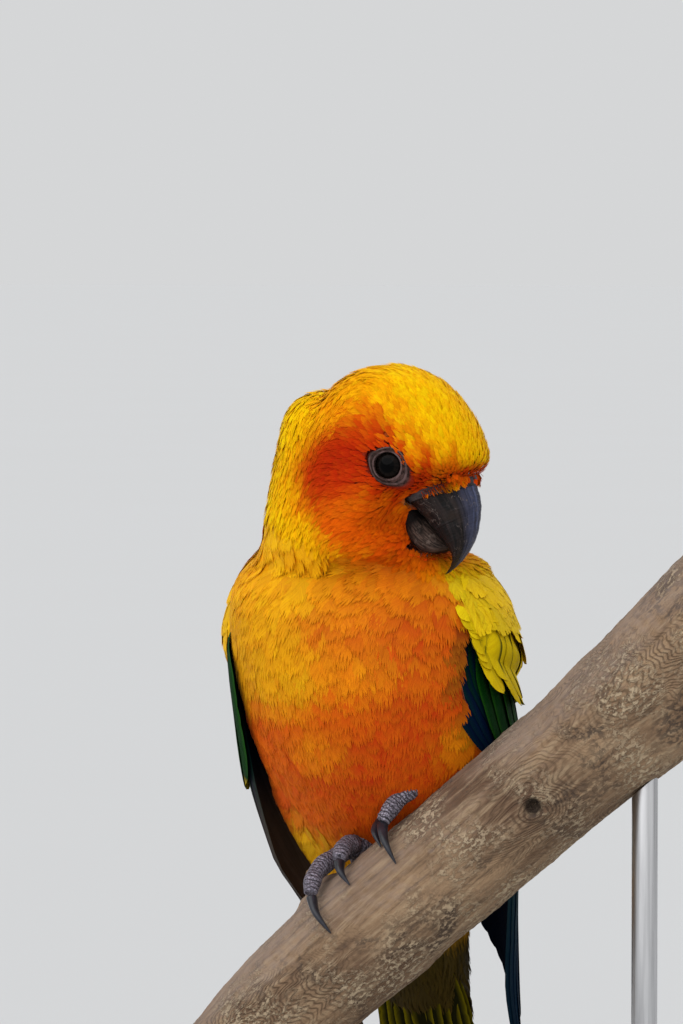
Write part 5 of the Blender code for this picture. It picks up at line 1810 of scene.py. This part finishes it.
def lidMaterial():
    finish, hand = newMaterial("lidSkin")
    flow = hand.map("flow")
    ring = hand.axes(flow)
    folds = hand.grain(flow, (26.0, 9.0, 1.0), 4.0, 0.6, 0.8)
    tone = hand.mix(hand.span(folds, 0.35, 0.65), (0.006, 0.0035, 0.003), (0.050, 0.025, 0.020))
    level = hand.span(ring[1], 3 / 16, 1.0)
    # the inner and the outer rim are pale, and the corner by the bill is pinkish
    inner = hand.times(hand.span(level, 0.57, 0.62), hand.span(level, 0.75, 0.70))
    outer = hand.times(hand.span(level, 0.25, 0.29), hand.span(level, 0.40, 0.34))
    pale = hand.math("MAXIMUM", inner, hand.times(outer, 0.8))
    corner = hand.times(hand.span(hand.gap(ring[0], 0.872), 0.15, 0.04), hand.span(folds, 0.4, 0.6))
    tone = hand.mix(hand.times(corner, 0.7), tone, (0.12, 0.065, 0.058))
    broken = hand.span(hand.noise(hand.here(), 380.0, 2.0), 0.40, 0.60, 0.25, 1.0)
    tone = hand.mix(hand.times(pale, broken), tone, (0.15, 0.092, 0.088))
    tone = hand.mix(hand.span(level, 0.20, 0.10, 0.0, 0.95), tone, (0.36, 0.022, 0.002))
    hand.output(tone, 0.6, folds, 0.7, 0.0006, Specular_IOR_Level=0.12)
    return finish


def makeEyeball(side, label, finish):
    centre, out, ahead, up = eyeFrame(side)
    clearSelection()
    bpy.ops.mesh.primitive_uv_sphere_add(segments=64, ring_count=40, radius=eyes["radius"] * mm,
                                         location=(0, 0, 0))
    ball = bpy.context.active_object
    mesh = ball.data
    ball.name = mesh.name = "eyeball_" + label
    local = pointsOf(mesh)
    movePoints(mesh, centre + ahead * local[:, :1] * side + up * local[:, 1:2] + out * local[:, 2:])
    for layer in list(mesh.uv_layers):
        mesh.uv_layers.remove(layer)
    far = np.linalg.norm(local[:, :2], axis=1) / eyes["radius"] + (local[:, 2] < 0) * 1.0
    turn = np.arctan2(local[:, 1], local[:, 0]) / (2 * math.pi) + 0.5
    layMap(mesh, "depth", np.stack([turn, far], -1))
    mesh.update()
    outward(ball)
    dress(ball, finish)
    finishPiece(ball, "eye_dark", "eye_" + label)


def makeLids(side, label, finish):
    # an oval ring of bare skin, drawn out to a corner at each end
    centre, out, ahead, up = eyeFrame(side)
    turns = eyes["turns"]
    a = circle(turns)
    back, front = corners(a)
    stretch = 1 + 0.28 * back + 0.26 * front
    rings = []
    for n, (radius, height) in enumerate(eyes["lids"]):
        grow = 1 + (stretch - 1) * min(max((radius - 3.0) / 2.2, 0), 1)
        wrinkle = (0.05 * np.sin(a * 17 + n) + 0.10 * front * np.sin(a * 31 + n * 1.3)) * (2 < n < 9)
        reach = radius * grow
        high = height - (reach - radius) * 0.55 + wrinkle
        if radius < 3.6:
            ball = np.sqrt(np.maximum((eyes["radius"] + 0.06) ** 2 - reach ** 2, 0))
            high = np.maximum(high, ball)
        flow = ahead * (reach * np.cos(a))[:, None] + up * (reach * 0.96 * np.sin(a))[:, None]
        rings.append(centre + flow + out * high[:, None])
    for radius, sunk in eyes["flange"]:
        flange = []
        for turn, grow in zip(a, stretch):
            way = ahead * math.cos(turn) + up * math.sin(turn) * 0.96
            spot = centre + way * radius * (1 + (grow - 1) * 0.6)
            hit = guideTree.ray_cast(Vector(spot + out * 14), Vector(-out))[0]
            flange.append(np.array(hit if hit is not None else spot) - out * sunk)
        rings.insert(0, np.array(flange))
    # the rings close on themselves, both ways round
    rings = np.array(rings)
    count = len(rings)
    k, i = np.arange(count)[:, None], np.arange(turns)[None]
    n, j = (k + 1) % count, (i + 1) % turns
    faces = np.stack([k * turns + i, k * turns + j, n * turns + j, n * turns + i], -1).reshape(-1, 4)
    lids = buildMesh("lids_" + label, rings.reshape(-1, 3), faces, finish, None,
                     {"flow": flowMap(count, turns).reshape(-1, 2)})
    outward(lids)
    finishPiece(lids, "bare_skin", "eyelids_" + label)


def makeEyes():
    ballFinish, lidFinish = eyeMaterial(), lidMaterial()
    for side, label in ((-1, "L"), (1, "R")):
        makeEyeball(side, label, ballFinish)
        makeLids(side, label, lidFinish)
    report("eyes and lids")


makeEyes()


# The branch

def perchPoint(distance, angle, height):
    distance, angle, height = (np.asarray(v, float) for v in np.broadcast_arrays(distance, angle, height))
    along, up, front = perchAxis()
    a = np.radians(angle)
    rise = -1.6 * ease(-20, -50, distance)
    bark = smoothBetween(perch["knots"], perch["radii"], distance.ravel()).reshape(distance.shape)
    bark = bark * (1 + 0.018 * np.sin(3 * a + distance / 23) + 0.012 * np.sin(5 * a - distance / 17))
    axis = perch["centre"] + along * distance[..., None] + up * rise[..., None]
    return axis + (bark + height)[..., None] * (np.cos(a)[..., None] * up + np.sin(a)[..., None] * front)


def branchMaterial():
    finish, hand = newMaterial("weatheredBranch")
    place = hand.here()
    turned = hand.place(place, (1, 1, 1), (0, math.radians(perch["slope"]), 0))
    fibre = hand.grain(turned, (60.0, 700.0, 700.0), 5.0, 0.65)
    broad = hand.grain(turned, (22.0, 60.0, 60.0), 5.0, 0.6)
    speck = hand.grain(turned, (700.0, 1100.0, 1100.0), 3.0, 0.7)
    tone = hand.mix(hand.span(broad, 0.36, 0.62), (0.130, 0.075, 0.045), (0.330, 0.215, 0.125))
    tone = hand.mix(hand.span(fibre, 0.50, 0.66, 0.0, 0.55), tone, (0.44, 0.32, 0.20))
    tone = hand.mix(hand.span(fibre, 0.47, 0.36, 0.0, 0.6), tone, (0.085, 0.052, 0.034))
    # figured grain that swirls round the knot and along the underside
    knot = perchPoint(*perch["marks"][0][:2], 0.0) * mm
    away = hand.add("ShaderNodeVectorMath", {0: place, 1: Vector(knot)}, operation="DISTANCE")
    away = away.outputs["Value"]
    closeBy = hand.span(away, 0.004, 0.022, 1.0, 0.0)
    slow = hand.grain(turned, (24.0, 62.0, 62.0), 3.0, 0.5, 0.4)
    field = hand.math("ADD", hand.times(slow, 34.0), hand.times(away, 520.0))
    contour = hand.gap(hand.math("FRACT", field), 0.5)
    line = hand.span(contour, 0.05, 0.26, 1.0, 0.0)
    where = hand.span(hand.grain(turned, (16.0, 42.0, 42.0), 2.0, 0.5), 0.50, 0.60)
    where = hand.math("MAXIMUM", where, closeBy)
    line = hand.times(line, where)
    tone = hand.mix(hand.times(line, 0.62), tone, (0.070, 0.040, 0.024))
    # a pale crust in patches, and dark specks
    crust = hand.span(hand.noise(turned, 55.0, 4.0, 0.6), 0.47, 0.60)
    crust = hand.times(crust, hand.span(speck, 0.47, 0.56))
    tone = hand.mix(hand.times(crust, 0.75), tone, (0.50, 0.39, 0.26))
    dark = hand.span(hand.noise(turned, 48.0, 4.0, 0.6, 0.8), 0.55, 0.66)
    dark = hand.times(dark, hand.span(speck, 0.54, 0.46))
    tone = hand.mix(hand.times(dark, 0.8), tone, (0.055, 0.040, 0.032))
    # greyer on top, where the surface faces upward
    upward = hand.axes(hand.add("ShaderNodeNewGeometry").outputs["Normal"])[2]
    grey = hand.times(hand.span(upward, 0.10, 0.60), hand.span(broad, 0.35, 0.55))
    tone = hand.mix(hand.times(grey, 0.55), tone, (0.26, 0.205, 0.18))
    tone = hand.mix(hand.span(away, 0.0026, 0.0016, 0.0, 0.85), tone, (0.02, 0.012, 0.008))
    height = hand.math("ADD", hand.times(fibre, 0.5), hand.times(speck, 0.6))
    height = hand.math("SUBTRACT", hand.math("ADD", height, crust), hand.times(line, 0.4))
    hand.output(tone, hand.span(fibre, 0.3, 0.7, 0.75, 0.92), height, 0.7, 0.0010, Specular_IOR_Level=0.2)
    return finish


def makePerch():
    distance = np.linspace(perch["start"], perch["end"], perch["rows"])[:, None]
    angle = np.linspace(0, 360, perch["sides"], endpoint=False)[None, :]
    distance, angle = np.broadcast_arrays(distance, angle)
    a = np.radians(angle.ravel())
    ring = np.stack([distance.ravel() * 0.6, 12 * np.cos(a), 12 * np.sin(a)], -1)
    height = 0.30 * ripple(ring, 16, 8) + 0.16 * ripple(ring * np.array([0.35, 1, 1]), 3.2, 9)
    height = (height + 0.10 * ripple(ring, 1.5, 10)).reshape(distance.shape)
    for d, g, size, hole, rim in perch["marks"]:
        off = np.sqrt((distance - d) ** 2 + (np.radians((angle - g + 180) % 360 - 180) * 15.5) ** 2) / size
        height = height + rim * np.exp(-((off - 1.15) / 0.55) ** 2) - hole * np.exp(-(off / 0.62) ** 2)
    inset = np.minimum(distance - perch["start"], perch["end"] - distance)
    height = height - (1 - ease(0, 1.4, inset))
    points = perchPoint(distance, angle, height)
    # the cut ends are closed by rings that shrink to the middle
    shares = (0.93, 0.8, 0.6, 0.4, 0.2)
    first, last = ([edge.mean(0) + (edge - edge.mean(0)) * share for share in shares]
                   for edge in (points[0], points[-1]))
    rings = first[::-1] + list(points) + last
    grain = np.stack([distance / 100, angle / 360], -1)
    grain = np.concatenate([np.repeat(grain[:1], 5, 0), grain, np.repeat(grain[-1:], 5, 0)])
    finish = branchMaterial()
    finishPiece(loftMesh("branch", rings, finish, {"grain": grain}, 50), "bare_wood", "perch")

    t = np.linspace(0, 1, 18)
    turn = circle(28)
    bump = 1 + 0.05 * np.sin(turn * 5)[None] * np.ones((18, 1)) + 0.03 * np.sin(turn * 9 + 2)[None]
    for n, (d, g, high, foot, top) in enumerate(perch["twigs"]):
        path = perchPoint(d + 0.6 * t, g, -4.5 + (high + 4.5) * t)
        radii = foot + (top - foot) * ease(0, 1, t) + 0.8 * np.exp(-((t - 0.45) / 0.12) ** 2)
        made = loftMesh(f"twig_{n + 1}", tubeRings(path, radii, 28, (0, 1, 0), 1.0, bump), finish,
                        {"grain": flowMap(18, 28)}, 50)
        finishPiece(made, "bare_wood", "perch")
    report("branch")


makePerch()


# Feet and claws, in the branch's own frame

feet = {
    "R": {
        "base": (10.0, -8, 4.0), "hock": (9.5, -34, 9.0),
        "toes": [[(5.4, 2, 4.0), (1.8, 22, 3.9), (-0.3, 38, 3.5)],
                 [(10.8, -4, 3.8), (10.6, 10, 4.0), (9.4, 25, 3.3)],
                 [(8.5, -20, 3.4), (6.0, -42, 2.7), (4.5, -66, 2.4)],
                 [(12.0, -20, 3.2), (14.0, -38, 2.6), (15.0, -54, 2.4)]],
        "claws": [[(-0.5, 41.5, 3.2), (-1.2, 56, 2.6), (-1.2, 73, 0.7)],
                  [(9.1, 28.5, 3.0), (8.6, 38, 2.4), (8.6, 47, 0.7)],
                  [(4.3, -69.5, 2.2), (4.0, -80, 1.8), (4.0, -90, 0.7)],
                  [(15.2, -57.5, 2.2), (15.6, -66, 1.8), (15.8, -75, 0.7)]],
    },
    "L": {
        "base": (37.0, -10, 4.0), "hock": (35.5, -36, 9.0),
        "toes": [[(34.5, 8, 4.2), (28.8, 15, 4.4), (23.4, 26, 3.5)],
                 [(34.5, -8, 3.8), (27.0, -1, 3.8), (21.6, 8, 3.3)],
                 [(36.0, -22, 3.4), (33.5, -44, 2.7), (32.0, -68, 2.4)],
                 [(39.0, -22, 3.2), (41.5, -40, 2.6), (42.5, -56, 2.4)]],
        "claws": [[(23.1, 27.5, 3.1), (22.4, 46, 2.6), (21.6, 62, 0.7)],
                  [(21.2, 9.5, 3.0), (20.0, 22, 2.5), (19.8, 36, 0.7)],
                  [(31.8, -71.5, 2.2), (31.4, -82, 1.8), (31.3, -92, 0.7)],
                  [(42.7, -59.5, 2.2), (43.0, -68, 1.8), (43.2, -77, 0.7)]],
    },
    "toeRadii": (2.1, 2.3, 2.15, 1.75), "clawRadii": (1.35, 1.0, 0.30), "scutes": 0.95, "sides": 22,
}


def curvedPath(rows, count):
    rows = np.array(rows, float)
    at = np.linspace(0, len(rows) - 1, count)
    steps = smoothBetween(np.arange(len(rows)), rows, at)
    return perchPoint(steps[:, 0], steps[:, 1], steps[:, 2])


def scaleMaterial():
    finish, hand = newMaterial("scalySkin")
    place = hand.here()
    cell = hand.add("ShaderNodeTexVoronoi", {"Scale": 1500.0}, feature="DISTANCE_TO_EDGE")
    hand.feed(cell.inputs["Vector"], place)
    wobble = hand.times(hand.noise(place, 650.0, 3.0, 0.6), 2.2)
    band = hand.math("FRACT", hand.math("ADD", hand.axes(hand.map("flow"))[1], wobble))
    band = hand.span(hand.gap(band, 0.5), 0.06, 0.24)
    plate = hand.times(hand.span(cell.outputs["Distance"], 0.0, 0.14, 0.3, 1.0), band)
    tone = hand.mix(plate, (0.012, 0.010, 0.014), (0.34, 0.31, 0.38))
    tone = hand.mix(hand.span(mottle(hand, 300.0)[0], 0, 1, 0.0, 0.5), tone, (0.12, 0.10, 0.13))
    hand.output(tone, 0.6, plate, 0.8, 0.0005, Specular_IOR_Level=0.3)
    return finish


def makeToe(name, line, size, finish):
    run = np.concatenate([[0], np.cumsum(np.linalg.norm(np.diff(line, axis=0), axis=1))])
    turn = circle(feet["sides"])
    # scutes across the top of each toe, a groove between each two
    groove = np.abs(np.sin(run / feet["scutes"] * math.pi / 2))
    groove = 1 - 0.045 * (1 - groove[:, None]) ** 2 * (0.65 + 0.35 * np.cos(turn))[None]
    warts = 1 + 0.02 * np.sin(turn * 6)[None] * np.sin(run * 5)[:, None]
    flow = np.stack(np.meshgrid(turn / (2 * math.pi), run / feet["scutes"]), -1)
    rings = tubeRings(line, size, feet["sides"], (0, 0.3, 1), 1.0, groove * warts)
    return loftMesh(name, rings, finish, {"flow": flow})


def makeFeet():
    finish = scaleMaterial()
    clawFinish = mottledFinish("clawHorn", 260.0, (0.006, 0.006, 0.009), (0.028, 0.029, 0.040), 0.3, 0.1,
                               0.0003, Specular_IOR_Level=0.4)
    for label in ("L", "R"):
        spec = feet[label]
        base, hock = perchPoint(*spec["base"]), perchPoint(*spec["hock"])
        t = np.linspace(-0.12, 1.0, 26)
        paths = [(base + (hock - base) * t[:, None], np.interp(t, [-0.12, 0, 1], [2.2, 2.9, 2.6]))]
        at = np.linspace(0, 3, 64)
        for toe in spec["toes"]:
            # pads under each joint
            size = np.interp(at, np.arange(4), feet["toeRadii"]) * (1 + 0.07 * np.sin(at * 2 * math.pi - 1.2))
            size[-1] *= 0.75
            paths.append((curvedPath([spec["base"]] + toe, 64), size))
        pieces = [makeToe(f"toe_{label}{n}", line, size, finish) for n, (line, size) in enumerate(paths)]
        finishPiece(joinPieces(pieces, "foot_" + label), "foot_scales", "leg_" + label)
        for n, row in enumerate(spec["claws"], start=1):
            line = curvedPath(row, 30)
            size = np.interp(np.linspace(0, 2, 30), np.arange(3), feet["clawRadii"])
            ahead = unit(line[-1] - line[-2])
            line = np.concatenate([line, line[-1:] + ahead * 0.35, line[-1:] + ahead * 0.6])
            size = np.concatenate([size, [0.2, 0.06]])
            made = loftMesh(f"talon_{label}{n}", tubeRings(line, size, 18, (0, 0.3, 1), 0.85), clawFinish)
            finishPiece(made, "bill_horn", f"claw_{label}{n}")
    report("feet and claws")


makeFeet()


# Display stand

stand = {
    "size": (150.0, 112.0, 8.0), "centre": (14.0, 11.0), "rod": 3.0,
    "rods": (("low", -31.0), ("high", 68.0)),
}


def bevelRims(made, width, segments, least):
    modify(made, "BEVEL", width=width, segments=segments, limit_method="ANGLE",
           angle_limit=math.radians(least))


def baseMaterial():
    finish, hand = newMaterial("baseWood")
    place = hand.here()
    figure = hand.grain(place, (10.0, 120.0, 120.0), 5.0, 0.6, 0.4)
    pores = hand.grain(place, (60.0, 1100.0, 1100.0), 2.0)
    tone = hand.mix(hand.span(figure, 0.3, 0.7), (0.022, 0.013, 0.009), (0.085, 0.050, 0.030))
    tone = hand.mix(hand.span(pores, 0.6, 0.75, 0.0, 0.6), tone, (0.010, 0.006, 0.004))
    hand.output(tone, hand.span(figure, 0.3, 0.7, 0.34, 0.48), pores, 0.15, 0.0003, Coat_Weight=0.15)
    return finish


def rodMaterial():
    finish, hand = newMaterial("brushedRod")
    brush = hand.grain(hand.here(), (900.0, 900.0, 26.0), 3.0)
    tone = hand.mix(hand.span(brush, 0.3, 0.7), (0.42, 0.42, 0.43), (0.62, 0.62, 0.63))
    hand.output(tone, hand.span(brush, 0.3, 0.7, 0.26, 0.42), brush, 0.08, 0.0002, Metallic=1.0)
    return finish


def newCylinder(name, sides, radius, depth):
    clearSelection()
    bpy.ops.mesh.primitive_cylinder_add(vertices=sides, radius=radius, depth=depth, location=(0, 0, 0))
    made = bpy.context.active_object
    made.name = made.data.name = name
    return made


def makeBase():
    # a flat base: a cylinder drawn out to a rounded rectangle, its rims bevelled
    base = newCylinder("stand_base_board", 112, 1, 1)
    (long, wide, thick), (x, y) = stand["size"], stand["centre"]
    for vert in base.data.vertices:
        a = math.atan2(vert.co.y, vert.co.x)
        blend = (abs(math.cos(a)) ** 4 + abs(math.sin(a)) ** 4) ** -0.25
        vert.co = Vector((x + long / 2 * blend * math.cos(a), y + wide / 2 * blend * math.sin(a),
                          (vert.co.z + 0.5) * thick)) * mm
    bevelRims(base, 0.0015, 4, 50)
    dress(base, baseMaterial(), 30)
    finishPiece(base, "base_wood", "stand_base")


def makeRods():
    steel = rodMaterial()
    slope = math.tan(math.radians(perch["slope"]))
    for label, x in stand["rods"]:
        node = "stand_rod_" + label
        low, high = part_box(node)
        rod = newCylinder(node + "_bar", 48, stand["rod"] * mm, high[2] - low[2])
        middle = (low[2] + high[2]) / 2
        for vert in rod.data.vertices:
            top = vert.co.z > 0
            vert.co = Vector((vert.co.x + x * mm, vert.co.y + perch["centre"][1] * mm, vert.co.z + middle))
            if top:
                # the top is cut to the branch's slope and sunk into its underside
                vert.co.z = high[2] - 0.002 + (vert.co.x - x * mm) * slope
        bevelRims(rod, 0.0003, 2, 30)
        dress(rod, steel, 35)
        finishPiece(rod, "rod_steel", node)


makeBase()
makeRods()
report("stand")

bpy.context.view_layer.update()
report("done")
